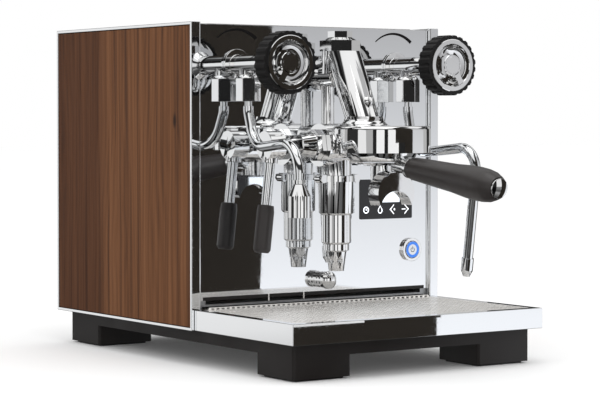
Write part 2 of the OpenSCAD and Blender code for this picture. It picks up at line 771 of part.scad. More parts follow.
module lever_grip() color(black) lever_axis() translate([0, 0, lever_len - grip_len]) difference() {
    union() {
        cylinder(r1 = 7.6, r2 = 8.5, h = 6);
        translate([0, 0, 6]) cylinder(r = 8.5, h = grip_len - 9);
        translate([0, 0, grip_len - 3]) cylinder(r1 = 8.5, r2 = 6.5, h = 3);
    }
    translate([0, 0, -1]) cylinder(r = 3.5 + fit / 2, h = 32);
}

// ---- Infusion chamber and exhaust valve, one under the other ----

chamber_top = cam_z - 30;
chamber_low = chamber_top - 38.5;
housing_low = chamber_low - 29;
module infusion_chamber()
    color(chrome) translate([0, -cam_y, 0]) difference() {
        union() {
            translate([0, 0, chamber_low]) cylinder(r1 = chamber_r - 1.5, r2 = chamber_r, h = 1.5);
            translate([0, 0, chamber_low + 1.5]) cylinder(r = chamber_r, h = 31);
            translate([0, 0, chamber_low + 32.5]) cylinder(r = chamber_r + 0.8, h = 6 - fit);
            // two clamp screws on lugs at the sides of the flange
            for (sx = [-1, 1]) translate([sx * (chamber_r + 2.1), 4, chamber_low + 35.4]) rotate([90, 0, 0]) {
                cylinder(r = 4.4, h = 8);
                cylinder(r = 2.4, h = 8.8);
                translate([0, 0, 8.5]) rotate([0, 0, 12]) hex_bar(7.6, 3);
            }
            translate([0, 0, chamber_top - fit]) cylinder(r = 8 - fit / 2, h = 12);
        }
        translate([0, 0, chamber_low - 1]) cylinder(r = 11, h = 32);
        translate([0, 0, chamber_low]) cylinder(r = 3, h = 60);
    }

module exhaust_housing()
    color(chrome) translate([0, -cam_y, 0]) difference() {
        union() {
            translate([0, 0, housing_low]) cylinder(r1 = 13.4, r2 = 14.9, h = 1.5);
            translate([0, 0, housing_low + 1.5]) cylinder(r = 14.9, h = 27.5 - fit);
            translate([0, 0, chamber_low - fit - 1]) cylinder(r = 11 - fit, h = 12);
        }
        translate([0, 0, housing_low - 1]) cylinder(r = 4, h = 60);
    }

module drain_nozzle()
    color(chrome) translate([0, -cam_y, housing_low - fit]) mirror([0, 0, 1]) difference() {
        union() {
            cylinder(r = 12.8, h = 6);
            translate([0, 0, 6]) cylinder(r1 = 12.8, r2 = 10.4, h = 1.5);
            translate([0, 0, 7.5]) cylinder(r1 = 10.2, r2 = 7.6, h = 19);
        }
        // dimples around the tip
        for (i = [0:5]) rotate([0, 0, 60 * i + 20]) translate([9.9, 0, 16]) sphere(2.6);
        translate([0, 0, -1]) cylinder(r = 4, h = 40);
    }

// A short outlet over the tray for the relief valve: a sleeve with rows of holes and a domed cap
module relief_outlet() {
    outlet_r = 8.75;
    dome_r = 10.5;
    front = panel_y - 20;
    cap_back = front + 8;
    color(chrome) difference() {
        union() {
            y_rod(outlet_r - 0.6, cap_back - 1, panel_y - fit, [outlet_x, outlet_z]);
            y_rod(5, panel_y - fit - 1, panel_back + 6, [outlet_x, outlet_z]);
            intersection() {
                translate([outlet_x, front + dome_r, outlet_z]) sphere(dome_r);
                y_rod(outlet_r, front - 1, cap_back, [outlet_x, outlet_z]);
            }
        }
        y_rod(outlet_r - 2.2, front + 4, panel_y - 2, [outlet_x, outlet_z]);
        for (row = [0:1], i = [0:9]) translate([outlet_x, cap_back + 3 + 5 * row, outlet_z])
            rotate([0, 36 * i, 0]) translate([0, 0, outlet_r - 3.4]) cylinder(r = 1.4, h = 6, $fn = 16);
    }
}

// ---- Portafilter ----

module portafilter_body() {
    color(chrome) difference() {
        union() {
            translate([0, -brew_y, 0]) rotate_extrude() {
                translate([0, ear_z - 4]) square([bowl_r, rim_z - ear_z + 4]);
                polygon([[0, spout_z], [bowl_r - 14.5, spout_z], [bowl_r - 6.5, spout_z + 3],
                    [bowl_r - 2, spout_z + 8], [bowl_r, ear_z - 4],
                    [0, ear_z - 4]]);
            }
            // two ears that hold it in the bell
            intersection() {
                translate([0, -brew_y, ear_z + gap]) cylinder(r = ear_r, h = 6.4);
                translate([0, -brew_y, ear_z]) cube([2 * ear_r + 2, 20, 20], center = true);
            }
            // the arm that carries the handle
            handle_axis() {
                translate([0, 0, bowl_r - 10]) cylinder(r = 7, h = arm_end - bowl_r + 10);
                translate([0, 0, arm_end - 4]) cylinder(r = 10, h = 4);
            }
            translate([0, -brew_y, spout_z - 7]) cylinder(r = 8, h = 8);
        }
        translate([0, -brew_y, spout_z + 3]) cylinder(r = basket_r + basket_t + 0.4, h = 40);
        translate([0, -brew_y, spout_z - 10]) cylinder(r = 4, h = 20);
        handle_axis() translate([0, 0, arm_end - 9]) cylinder(r = 4.2, h = 10);
    }
}

module filter_basket() {
    depth = rim_z - spout_z - 4;
    color(steel) translate([0, -brew_y, rim_z - depth]) difference() {
        union() {
            cylinder(r = basket_r + basket_t, h = depth);
            translate([0, 0, depth]) cylinder(r = bowl_r - 0.5, h = 0.8);
        }
        translate([0, 0, basket_t]) cylinder(r = basket_r, h = depth + 2);
        for (ring = [1:3], i = [0:6 * ring - 1]) rotate([0, 0, 60 * i / ring])
            translate([8 * ring, 0, -1]) cylinder(r = 1, h = 3, $fn = 16);
    }
}

// A double spout: a crescent a little in front of its threaded boss
module portafilter_spout() {
    depth = 16;
    drop = 40;
    reach = 16;
    crown_r = 21.5;
    inner_r = 19;
    crown_z = -drop + 14;
    boss_h = 14;
    color(chrome) translate([0, -brew_y, spout_z]) difference() {
        union() {
            translate([0, -reach + depth / 2, 0]) rotate([90, 0, 0]) linear_extrude(depth) difference() {
                translate([0, crown_z]) circle(crown_r);
                translate([0, crown_z - 16.5]) circle(inner_r);
                translate([-crown_r - 1, -drop - crown_r]) square([2 * crown_r + 2, crown_r]);
            }
            translate([0, 0, -boss_h]) cylinder(r = 10.5, h = boss_h - fit);
            translate([-8, 4 - reach, -boss_h]) cube([16, reach - 8, boss_h - 5]);
        }
        translate([0, 0, -8]) cylinder(r = 8 + fit / 2, h = 20);
        translate([0, 0, 1.5 - boss_h]) cylinder(r = 4, h = 20);
        // the way forward, and the two channels down through the crown
        y_rod(1.8, -reach - 1, 0, [0, 3.5 - boss_h]);
        for (sx = [-1, 1]) translate([0, -reach, 3.5 - boss_h]) rotate([0, sx * 150, 0]) cylinder(r = 2.8, h = 22);
    }
}

module handle_axis() translate([0, -brew_y, arm_z]) rotate([90 + handle_slope, 0, 0]) children();

arm_end = bell_r + 2;
handle_start = arm_end + fit;
module portafilter_handle() {
    end = handle_reach - 3.4;
    color(black) handle_axis() difference() {
        rotate_extrude() polygon([[0, handle_start], [9, handle_start], [10.2, handle_start + 1.5],
            [10.8, handle_start + 5], [12, handle_start + 30], [13.4, handle_start + 65],
            [handle_r - 0.4, end - 40], [handle_r, end - 28], [handle_r - 0.3, end - 18], [handle_r - 1.4, end - 10],
            [handle_r - 3.6, end - 4], [cap_r + 0.8, end], [0, end]]);
        translate([0, 0, handle_start - 1]) cylinder(r = 4.2, h = 40);
        translate([0, 0, end - 2]) cylinder(r = cap_r + fit / 2, h = 6);
        translate([0, 0, end - 12]) cylinder(r = 3, h = 14);
    }
}

// The chrome cap in the handle's end, a shallow dome
module handle_cap() {
    end = handle_reach - 3.4;
    color(chrome) handle_axis() {
        intersection() {
            translate([0, 0, end - 2 + fit]) cylinder(r = cap_r, h = 8);
            translate([0, 0, handle_reach - cap_dome_r]) sphere(cap_dome_r, $fn = 96);
        }
        translate([0, 0, end - 10]) cylinder(r = 2.8, h = 9);
    }
}

// ---- Inside the housing ----

boiler_y = panel_back + 38 + boiler_r;
boiler_z = 205;
module boiler() {
    color(copper) difference() {
        union() {
            x_rod(boiler_r, -boiler_len / 2, boiler_len / 2, [boiler_y, boiler_z]);
            for (z = [cam_z]) y_rod(7, boiler_y - boiler_r - 4, boiler_y, [0, z]);
            translate([0, boiler_y, boiler_z]) cylinder(r = 7, h = boiler_r + 4);
            translate([40, boiler_y, boiler_z]) cylinder(r = 6, h = boiler_r + 12);
            for (sx = [-1, 1]) translate([sx * boiler_len / 3, boiler_y, floor_z + floor_t])
                translate([-4, -20, 0]) cube([8, 40, boiler_z - floor_z - floor_t]);
        }
        x_rod(boiler_r - boiler_t, -boiler_len / 2 + 4, boiler_len / 2 + 1, [boiler_y, boiler_z]);
    }
}

flange_bolts = 8;
module boiler_flange() {
    left = boiler_len / 2 + fit;
    color("#c8a45a") {
        difference() {
            x_rod(boiler_r + 4, left, left + 8, [boiler_y, boiler_z]);
            x_rod(7, left - 1, left + 9, [boiler_y, boiler_z]);
        }
        for (i = [0:flange_bolts - 1]) translate([left + 8, boiler_y, boiler_z]) rotate([360 * i / flange_bolts, 0, 0])
            translate([0, 0, boiler_r - 3]) rotate([0, 90, 0]) hex_bar(9, 5);
    }
    // the heating element's loop stands inside the shell
    color("#9a9c9e") x_rod(7 - fit, left - boiler_len * 0.7, left + 14, [boiler_y, boiler_z]);
}

box_left = -inner_x + 12;
tank_left = box_left + box_w + 14;
tank_w = inner_x - 16 - tank_left;
tank_back = cover_y - sheet_t - 12;
tank_low = floor_z + floor_t + 4;
tank_high = top_deck_z - pan_depth - 12;
module water_tank() {
    wall = 2.5;
    color("#dfe8ee") translate([tank_left, tank_back - tank_d, tank_low]) difference() {
        translate([tank_w / 2, tank_d / 2, 0]) linear_extrude(tank_high - tank_low) round_rect([tank_w, tank_d], 8);
        translate([tank_w / 2, tank_d / 2, wall]) linear_extrude(tank_high)
            round_rect([tank_w - 2 * wall, tank_d - 2 * wall], 6);
    }
}

module tank_lid()
    color(black) translate([tank_left + tank_w / 2, tank_back - tank_d / 2, tank_high + fit]) difference() {
        union() {
            linear_extrude(2.5) round_rect([tank_w, tank_d], 8);
            translate([0, 0, 2.5]) linear_extrude(3) round_rect([50, 12], 5);
        }
        translate([tank_w / 2 - 20, 0, -1]) cylinder(r = 5, h = 8);
    }

pump_x = -half_w + side_t + 44;
module vibration_pump() {
    pump_z = 88;
    color("#4a4d50") y_rod(19, 160, 205, [pump_x, pump_z]);
    color("#c8a45a") y_rod(7, 206, 236, [pump_x, pump_z]);
    color("#c8a45a") y_rod(6, 140, 160, [pump_x, pump_z]);
    color("#4a4d50") y_rod(7, 205, 206, [pump_x, pump_z]);
    color("#303234") translate([pump_x - 21, 165, floor_z + floor_t]) difference() {
        cube([42, 34, pump_z - floor_z - floor_t]);
        translate([21, 50, pump_z - floor_z - floor_t]) rotate([90, 0, 0]) cylinder(r = 19 + fit, h = 60);
    }
}

module control_box()
    color("#3b3e41") translate([box_left, tank_back - 78, 130]) difference() {
        cube([box_w, 78, 150]);
        for (z = [20:18:130]) translate([box_w - 8, 12, z]) cube([10, 54, 6]);
    }

// Two pipes from the boiler to the group's ports
module siphon_pipes() {
    start = panel_back + 8 + fit;
    pipe_r = 5;
    color(copper) {
        y_rod(pipe_r, start, boiler_y - boiler_r - 4 - fit, [0, cam_z]);
        translate([0, start, upper_port_z]) rotate([-90, 0, 0]) rotate([0, 0, -90])
            tube_run([[boiler_y - start - 14, -90, 14],
                [upper_port_z - 14 - boiler_z - boiler_r - 4 - fit, 0, 0]], pipe_r);
    }
}

module power_inlet() {
    depth = 24;
    socket = 16;
    color(black) {
        difference() {
            wall_plate(cover_y - depth, depth) translate([inlet_x, inlet_z])
                square([inlet_w, inlet_h], center = true);
            wall_plate(cover_y - socket, socket + 1) translate([inlet_x, inlet_z])
                round_rect([inlet_w - 5, inlet_h - 5], 2);
        }
        for (x = [-7, 0, 7]) y_rod(1, cover_y - socket - 2, cover_y - 3, [inlet_x + x, inlet_z + (x == 0 ? -2 : 2)]);
    }
}

place() {
    base_plinth();
    foot_pads();
    chassis_frame();
    side_frame();  // left_side_frame
    wood_panel();  // left_wood_panel
    mirror([1, 0, 0]) side_frame();  // right_side_frame
    mirror([1, 0, 0]) wood_panel();  // right_wood_panel
    front_panel();
    back_cover();
    top_frame();
    cup_tray();
    water_tank();
    tank_lid();
    drip_tray_rim();
    drip_basin();
    drip_grate();
    shell_screws();
    power_inlet();
    touch_display();
    display_module();
    button_bezel();
    power_button();
    valve_bodies();
    valve_bonnets();
    wand_nuts();
    valve_stem(-1);  // left_valve_stem
    knob_core(-1);  // left_knob_core
    knob_grip(-1);  // left_knob_grip
    valve_stem(1);  // right_valve_stem
    knob_core(1);  // right_knob_core
    knob_grip(1);  // right_knob_grip
    ball_seat(-1);  // left_ball_seat
    wand(-1, left_yaw, water_steps);  // hot_water_wand
    hot_water_nozzle();
    ball_seat(1);  // right_ball_seat
    wand(1, 0, steam_steps);  // steam_wand
    steam_tip();
    group_body();
    group_cap();
    group_jet_plug();
    group_gasket();
    shower_screen();
    cam_nut();
    lever_hub();
    lever_rod();
    lever_grip();
    infusion_chamber();
    exhaust_housing();
    drain_nozzle();
    portafilter_body();
    filter_basket();
    portafilter_spout();
    portafilter_handle();
    handle_cap();
    relief_outlet();
    boiler();
    boiler_flange();
    vibration_pump();
    control_box();
    siphon_pipes();
}
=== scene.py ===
import json
import math
import bmesh
import bpy
from mathutils import Matrix, Vector


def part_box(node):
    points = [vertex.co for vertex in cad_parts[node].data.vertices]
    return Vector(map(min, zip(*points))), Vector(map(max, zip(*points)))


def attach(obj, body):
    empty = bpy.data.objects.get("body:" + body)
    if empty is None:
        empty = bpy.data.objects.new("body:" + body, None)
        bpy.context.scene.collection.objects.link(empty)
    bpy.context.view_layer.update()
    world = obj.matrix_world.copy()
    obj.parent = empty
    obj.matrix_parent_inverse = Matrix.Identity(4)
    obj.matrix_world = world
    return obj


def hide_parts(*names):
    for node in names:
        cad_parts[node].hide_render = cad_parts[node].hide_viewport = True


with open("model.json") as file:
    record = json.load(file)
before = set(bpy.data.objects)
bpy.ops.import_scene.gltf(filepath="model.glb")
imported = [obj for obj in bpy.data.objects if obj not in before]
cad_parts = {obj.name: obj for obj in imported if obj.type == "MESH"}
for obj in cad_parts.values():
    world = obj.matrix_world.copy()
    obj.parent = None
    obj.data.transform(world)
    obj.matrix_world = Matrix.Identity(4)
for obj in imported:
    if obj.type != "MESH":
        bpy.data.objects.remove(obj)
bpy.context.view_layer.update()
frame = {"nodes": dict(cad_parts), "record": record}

mm = 0.001
record = frame["record"]
nodeSlots = {s["node"]: s["material_slot"] for s in record["subparts"]}
nodeBodies = {n: b for b, nodes in record["behaviour"]["bodies"].items() for n in nodes}
joints = {j["name"]: j for j in record["behaviour"]["joints"]}


def jointPlace(name):
    return Vector(joints[name]["pos_m"])


def boxMiddle(node):
    low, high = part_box(node)
    return (low + high) / 2


camera = {
    "place": (-1.1926, -1.69446, 0.239),
    "turn": 34.08,  # degrees from straight ahead towards the right
    "tilt": -1.57,
    "lens": 124.73,
    "shift": (0.0285, -0.0425),
}


def makeCamera():
    data = bpy.data.cameras.new("camera")
    data.lens = camera["lens"]
    data.sensor_width = 36
    data.shift_x, data.shift_y = camera["shift"]
    data.clip_end = 50
    cam = bpy.data.objects.new("camera", data)
    cam.location = camera["place"]
    cam.rotation_euler = (math.radians(90 + camera["tilt"]), 0, -math.radians(camera["turn"]))
    bpy.context.collection.objects.link(cam)
    bpy.context.scene.camera = cam


makeCamera()
print("camera is set")


def addNode(tree, kind, place=(0, 0), **values):
    node = tree.nodes.new(kind)
    node.location = place
    for name, value in values.items():
        setattr(node, name, value)
    return node


def wire(tree, source, target):
    tree.links.new(source, target)


def ramp(tree, place, stops):
    node = addNode(tree, "ShaderNodeValToRGB", place)
    elements = node.color_ramp.elements
    while len(elements) < len(stops):
        elements.new(0.5)
    for element, (at, colour) in zip(elements, stops):
        element.position = at
        element.color = (*colour, 1) if len(colour) == 3 else colour
    return node


def newGroup(name, inputs, outputs):
    group = bpy.data.node_groups.new(name, "ShaderNodeTree")
    for label, kind, value in inputs:
        socket = group.interface.new_socket(label, in_out="INPUT", socket_type=kind)
        if value is not None:
            socket.default_value = value
    for label, kind in outputs:
        group.interface.new_socket(label, in_out="OUTPUT", socket_type=kind)
    return group, addNode(group, "NodeGroupInput", (-900, 0)), addNode(group, "NodeGroupOutput", (600, 0))


# Finger marks and faint wiping on polished metal and glass
def makeSmudges():
    group, source, result = newGroup(
        "smudges",
        [("Vector", "NodeSocketVector", None), ("Low", "NodeSocketFloat", 0.03),
         ("High", "NodeSocketFloat", 0.12), ("Waviness", "NodeSocketFloat", 0.1)],
        [("Roughness", "NodeSocketFloat"), ("Height", "NodeSocketFloat")])
    blotches = addNode(group, "ShaderNodeTexNoise", (-600, 200))
    blotches.inputs["Scale"].default_value = 22
    blotches.inputs["Detail"].default_value = 4
    streaks = addNode(group, "ShaderNodeTexNoise", (-600, -100))
    streaks.inputs["Scale"].default_value = 260
    streaks.inputs["Detail"].default_value = 2
    waves = addNode(group, "ShaderNodeTexNoise", (-600, -350))
    waves.inputs["Scale"].default_value = 7
    waves.inputs["Detail"].default_value = 0
    for node in (blotches, streaks, waves):
        wire(group, source.outputs["Vector"], node.inputs["Vector"])
    both = addNode(group, "ShaderNodeMath", (-350, 120), operation="MULTIPLY")
    wire(group, blotches.outputs["Fac"], both.inputs[0])
    wire(group, streaks.outputs["Fac"], both.inputs[1])
    spread = addNode(group, "ShaderNodeMapRange", (-100, 120))
    spread.inputs["From Min"].default_value = 0.15
    spread.inputs["From Max"].default_value = 0.42
    wire(group, both.outputs[0], spread.inputs["Value"])
    wire(group, source.outputs["Low"], spread.inputs["To Min"])
    wire(group, source.outputs["High"], spread.inputs["To Max"])
    scaled = addNode(group, "ShaderNodeMath", (-100, -250), operation="MULTIPLY")
    wire(group, waves.outputs["Fac"], scaled.inputs[0])
    wire(group, source.outputs["Waviness"], scaled.inputs[1])
    wire(group, spread.outputs["Result"], result.inputs["Roughness"])
    wire(group, scaled.outputs[0], result.inputs["Height"])
    return group


# The fine even grain of moulded plastic, rubber and satin paint
def makeMouldGrain():
    group, source, result = newGroup(
        "mouldGrain",
        [("Vector", "NodeSocketVector", None), ("Scale", "NodeSocketFloat", 900.0),
         ("Colour", "NodeSocketColor", (0.05, 0.05, 0.05, 1)),
         ("Worn", "NodeSocketColor", (0.09, 0.09, 0.09, 1)),
         ("Low", "NodeSocketFloat", 0.35), ("High", "NodeSocketFloat", 0.55)],
        [("Colour", "NodeSocketColor"), ("Roughness", "NodeSocketFloat"), ("Height", "NodeSocketFloat")])
    grain = addNode(group, "ShaderNodeTexNoise", (-600, 200))
    grain.inputs["Detail"].default_value = 3
    patches = addNode(group, "ShaderNodeTexNoise", (-600, -150))
    patches.inputs["Scale"].default_value = 14
    patches.inputs["Detail"].default_value = 6
    wire(group, source.outputs["Vector"], grain.inputs["Vector"])
    wire(group, source.outputs["Vector"], patches.inputs["Vector"])
    wire(group, source.outputs["Scale"], grain.inputs["Scale"])
    mix = addNode(group, "ShaderNodeMix", (-100, 200), data_type="RGBA")
    wire(group, patches.outputs["Fac"], mix.inputs["Factor"])
    wire(group, source.outputs["Colour"], mix.inputs["A"])
    wire(group, source.outputs["Worn"], mix.inputs["B"])
    spread = addNode(group, "ShaderNodeMapRange", (-100, -50))
    spread.inputs["From Min"].default_value = 0.3
    spread.inputs["From Max"].default_value = 0.7
    wire(group, patches.outputs["Fac"], spread.inputs["Value"])
    wire(group, source.outputs["Low"], spread.inputs["To Min"])
    wire(group, source.outputs["High"], spread.inputs["To Max"])
    wire(group, mix.outputs["Result"], result.inputs["Colour"])
    wire(group, spread.outputs["Result"], result.inputs["Roughness"])
    wire(group, grain.outputs["Fac"], result.inputs["Height"])
    return group


smudges = makeSmudges()
mouldGrain = makeMouldGrain()


def startMaterial(name, **values):
    material = bpy.data.materials.new(name)
    material.use_nodes = True
    tree = material.node_tree
    shader = tree.nodes["Principled BSDF"]
    for label, value in values.items():
        shader.inputs[label.replace("_", " ")].default_value = value
    coords = addNode(tree, "ShaderNodeTexCoord", (-1200, 0))
    return material, tree, shader, coords.outputs["Object"]


def bumpInto(tree, shader, height, distance, strength=1.0):
    bump = addNode(tree, "ShaderNodeBump", (-250, -300))
    bump.inputs["Distance"].default_value = distance
    bump.inputs["Strength"].default_value = strength
    wire(tree, height, bump.inputs["Height"])
    wire(tree, bump.outputs["Normal"], shader.inputs["Normal"])


def polishedMetal(name, colour, low, high, waviness=0.1, waveDepth=0.0006):
    material, tree, shader, coords = startMaterial(name, Base_Color=(*colour, 1), Metallic=1.0)
    marks = addNode(tree, "ShaderNodeGroup", (-600, 0), node_tree=smudges)
    marks.inputs["Low"].default_value = low
    marks.inputs["High"].default_value = high
    marks.inputs["Waviness"].default_value = waviness
    wire(tree, coords, marks.inputs["Vector"])
    wire(tree, marks.outputs["Roughness"], shader.inputs["Roughness"])
    bumpInto(tree, shader, marks.outputs["Height"], waveDepth)
    return material


def mouldedPlastic(name, colour, worn, low, high, scale=900.0, depth=0.00004, gloss=0.3):
    material, tree, shader, coords = startMaterial(name, Specular_IOR_Level=gloss)
    grain = addNode(tree, "ShaderNodeGroup", (-600, 0), node_tree=mouldGrain)
    grain.inputs["Scale"].default_value = scale
    grain.inputs["Colour"].default_value = (*colour, 1)
    grain.inputs["Worn"].default_value = (*worn, 1)
    grain.inputs["Low"].default_value = low
    grain.inputs["High"].default_value = high
    wire(tree, coords, grain.inputs["Vector"])
    wire(tree, grain.outputs["Colour"], shader.inputs["Base Color"])
    wire(tree, grain.outputs["Roughness"], shader.inputs["Roughness"])
    bumpInto(tree, shader, grain.outputs["Height"], depth)
    return material


# Satin metal with its brushing along one axis
def brushedMetal(name, colour, darker, stretch, low=0.22, high=0.38):
    material, tree, shader, coords = startMaterial(name, Metallic=1.0)
    place = addNode(tree, "ShaderNodeMapping", (-950, 0))
    place.inputs["Scale"].default_value = stretch
    lines = addNode(tree, "ShaderNodeTexNoise", (-700, 0))
    lines.inputs["Scale"].default_value = 60
    lines.inputs["Detail"].default_value = 6
    wire(tree, coords, place.inputs["Vector"])
    wire(tree, place.outputs["Vector"], lines.inputs["Vector"])
    tone = ramp(tree, (-450, 150), [(0.3, darker), (0.7, colour)])
    wire(tree, lines.outputs["Fac"], tone.inputs["Fac"])
    wire(tree, tone.outputs["Color"], shader.inputs["Base Color"])
    spread = addNode(tree, "ShaderNodeMapRange", (-450, -120))
    spread.inputs["To Min"].default_value = low
    spread.inputs["To Max"].default_value = high
    wire(tree, lines.outputs["Fac"], spread.inputs["Value"])
    wire(tree, spread.outputs["Result"], shader.inputs["Roughness"])
    bumpInto(tree, shader, lines.outputs["Fac"], 0.00003)
    return material


walnutLook = {
    "light": (0.190, 0.078, 0.030),
    "middle": (0.136, 0.052, 0.0180),
    "dark": (0.072, 0.027, 0.0105),
    "stripAt": 0.175,  # the darker board starts this far back
    "knot": (0.035, 0.236),  # back and up
}


def walnutWood():
    look = walnutLook
    material, tree, shader, coords = startMaterial("walnutWood", Specular_IOR_Level=0.15)
    split = addNode(tree, "ShaderNodeSeparateXYZ", (-1500, -200))
    wire(tree, coords, split.inputs[0])

    def stretched(scale, detail, stretch, place):
        mapping = addNode(tree, "ShaderNodeMapping", (place[0] - 220, place[1]))
        mapping.inputs["Scale"].default_value = stretch
        noise = addNode(tree, "ShaderNodeTexNoise", place)
        noise.inputs["Scale"].default_value = scale
        noise.inputs["Detail"].default_value = detail
        wire(tree, coords, mapping.inputs["Vector"])
        wire(tree, mapping.outputs["Vector"], noise.inputs["Vector"])
        return noise

    broad = stretched(16, 3, (1, 1, 0.16), (-1000, 300))
    broad.inputs["Distortion"].default_value = 0.6
    lines = stretched(90, 5, (1, 1.6, 0.03), (-1000, 0))
    pores = stretched(420, 2, (1, 1.6, 0.03), (-1000, -300))

    # growth rings: bands across the board, bent by the broad noise
    bend = addNode(tree, "ShaderNodeMath", (-760, 420), operation="MULTIPLY_ADD")
    bend.inputs[1].default_value = 0.05
    wire(tree, broad.outputs["Fac"], bend.inputs[0])
    wire(tree, split.outputs["Y"], bend.inputs[2])
    bands = addNode(tree, "ShaderNodeMath", (-600, 420), operation="MULTIPLY")
    bands.inputs[1].default_value = 900
    wire(tree, bend.outputs[0], bands.inputs[0])
    sine = addNode(tree, "ShaderNodeMath", (-450, 420), operation="SINE")
    wire(tree, bands.outputs[0], sine.inputs[0])
    ringTone = addNode(tree, "ShaderNodeMath", (-300, 420), operation="MULTIPLY_ADD")
    ringTone.inputs[1].default_value = 0.05
    wire(tree, sine.outputs[0], ringTone.inputs[0])
    wire(tree, lines.outputs["Fac"], ringTone.inputs[2])

    tone = ramp(tree, (-100, 300), [(0.28, look["dark"]), (0.46, look["middle"]), (0.68, look["light"])])
    wire(tree, ringTone.outputs[0], tone.inputs["Fac"])

    # the darker board towards the back
    edge = addNode(tree, "ShaderNodeMath", (-760, -520), operation="MULTIPLY_ADD")
    edge.inputs[1].default_value = 0.03
    wire(tree, broad.outputs["Fac"], edge.inputs[0])
    wire(tree, split.outputs["Y"], edge.inputs[2])
    strip = addNode(tree, "ShaderNodeMapRange", (-560, -520), interpolation_type="SMOOTHSTEP")
    strip.inputs["From Min"].default_value = look["stripAt"]
    strip.inputs["From Max"].default_value = look["stripAt"] + 0.035
    wire(tree, edge.outputs[0], strip.inputs["Value"])
    darken = addNode(tree, "ShaderNodeMix", (150, 250), data_type="RGBA", blend_type="MULTIPLY")
    darken.inputs["B"].default_value = (0.56, 0.50, 0.47, 1)
    wire(tree, strip.outputs["Result"], darken.inputs["Factor"])
    wire(tree, tone.outputs["Color"], darken.inputs["A"])

    # the knot
    centre = addNode(tree, "ShaderNodeCombineXYZ", (-1300, -700))
    wire(tree, split.outputs["Y"], centre.inputs["Y"])
    wire(tree, split.outputs["Z"], centre.inputs["Z"])
    away = addNode(tree, "ShaderNodeVectorMath", (-1100, -700), operation="SUBTRACT")
    away.inputs[1].default_value = (0, look["knot"][0], look["knot"][1])
    wire(tree, centre.outputs[0], away.inputs[0])
    squeeze = addNode(tree, "ShaderNodeVectorMath", (-900, -700), operation="MULTIPLY")
    squeeze.inputs[1].default_value = (1, 1, 0.45)
    wire(tree, away.outputs[0], squeeze.inputs[0])
    reach = addNode(tree, "ShaderNodeVectorMath", (-700, -700), operation="LENGTH")
    wire(tree, squeeze.outputs[0], reach.inputs[0])
    knot = addNode(tree, "ShaderNodeMapRange", (-500, -700), interpolation_type="SMOOTHSTEP")
    knot.inputs["From Min"].default_value = 0.0012
    knot.inputs["From Max"].default_value = 0.0045
    knot.inputs["To Min"].default_value = 0.85
    knot.inputs["To Max"].default_value = 0.0
    wire(tree, reach.outputs["Value"], knot.inputs["Value"])
    knotted = addNode(tree, "ShaderNodeMix", (350, 250), data_type="RGBA")
    knotted.inputs["B"].default_value = (0.022, 0.010, 0.006, 1)
    wire(tree, knot.outputs["Result"], knotted.inputs["Factor"])
    wire(tree, darken.outputs["Result"], knotted.inputs["A"])
    wire(tree, knotted.outputs["Result"], shader.inputs["Base Color"])

    sheen = addNode(tree, "ShaderNodeMapRange", (150, -100))
    sheen.inputs["To Min"].default_value = 0.62
    sheen.inputs["To Max"].default_value = 0.38
    wire(tree, pores.outputs["Fac"], sheen.inputs["Value"])
    wire(tree, sheen.outputs["Result"], shader.inputs["Roughness"])
    bumpInto(tree, shader, pores.outputs["Fac"], 0.00012, 0.5)
    return material


def clearPlastic():
    material, tree, shader, coords = startMaterial(
        "clearPlastic", Base_Color=(0.9, 0.95, 0.97, 1), Transmission_Weight=0.9)
    marks = addNode(tree, "ShaderNodeGroup", (-600, 0), node_tree=smudges)
    marks.inputs["Low"].default_value = 0.05
    marks.inputs["High"].default_value = 0.2
    wire(tree, coords, marks.inputs["Vector"])
    wire(tree, marks.outputs["Roughness"], shader.inputs["Roughness"])
    return material


def glowing(name, colour, strength):
    material, tree, shader, coords = startMaterial(name, Base_Color=(*colour, 1), Emission_Strength=strength)
    cells = addNode(tree, "ShaderNodeTexNoise", (-700, 0))
    cells.inputs["Scale"].default_value = 60
    wire(tree, coords, cells.inputs["Vector"])
    tone = ramp(tree, (-450, 0), [(0.3, tuple(c * 0.85 for c in colour)), (0.7, colour)])
    wire(tree, cells.outputs["Fac"], tone.inputs["Fac"])
    wire(tree, tone.outputs["Color"], shader.inputs["Emission Color"])
    return material


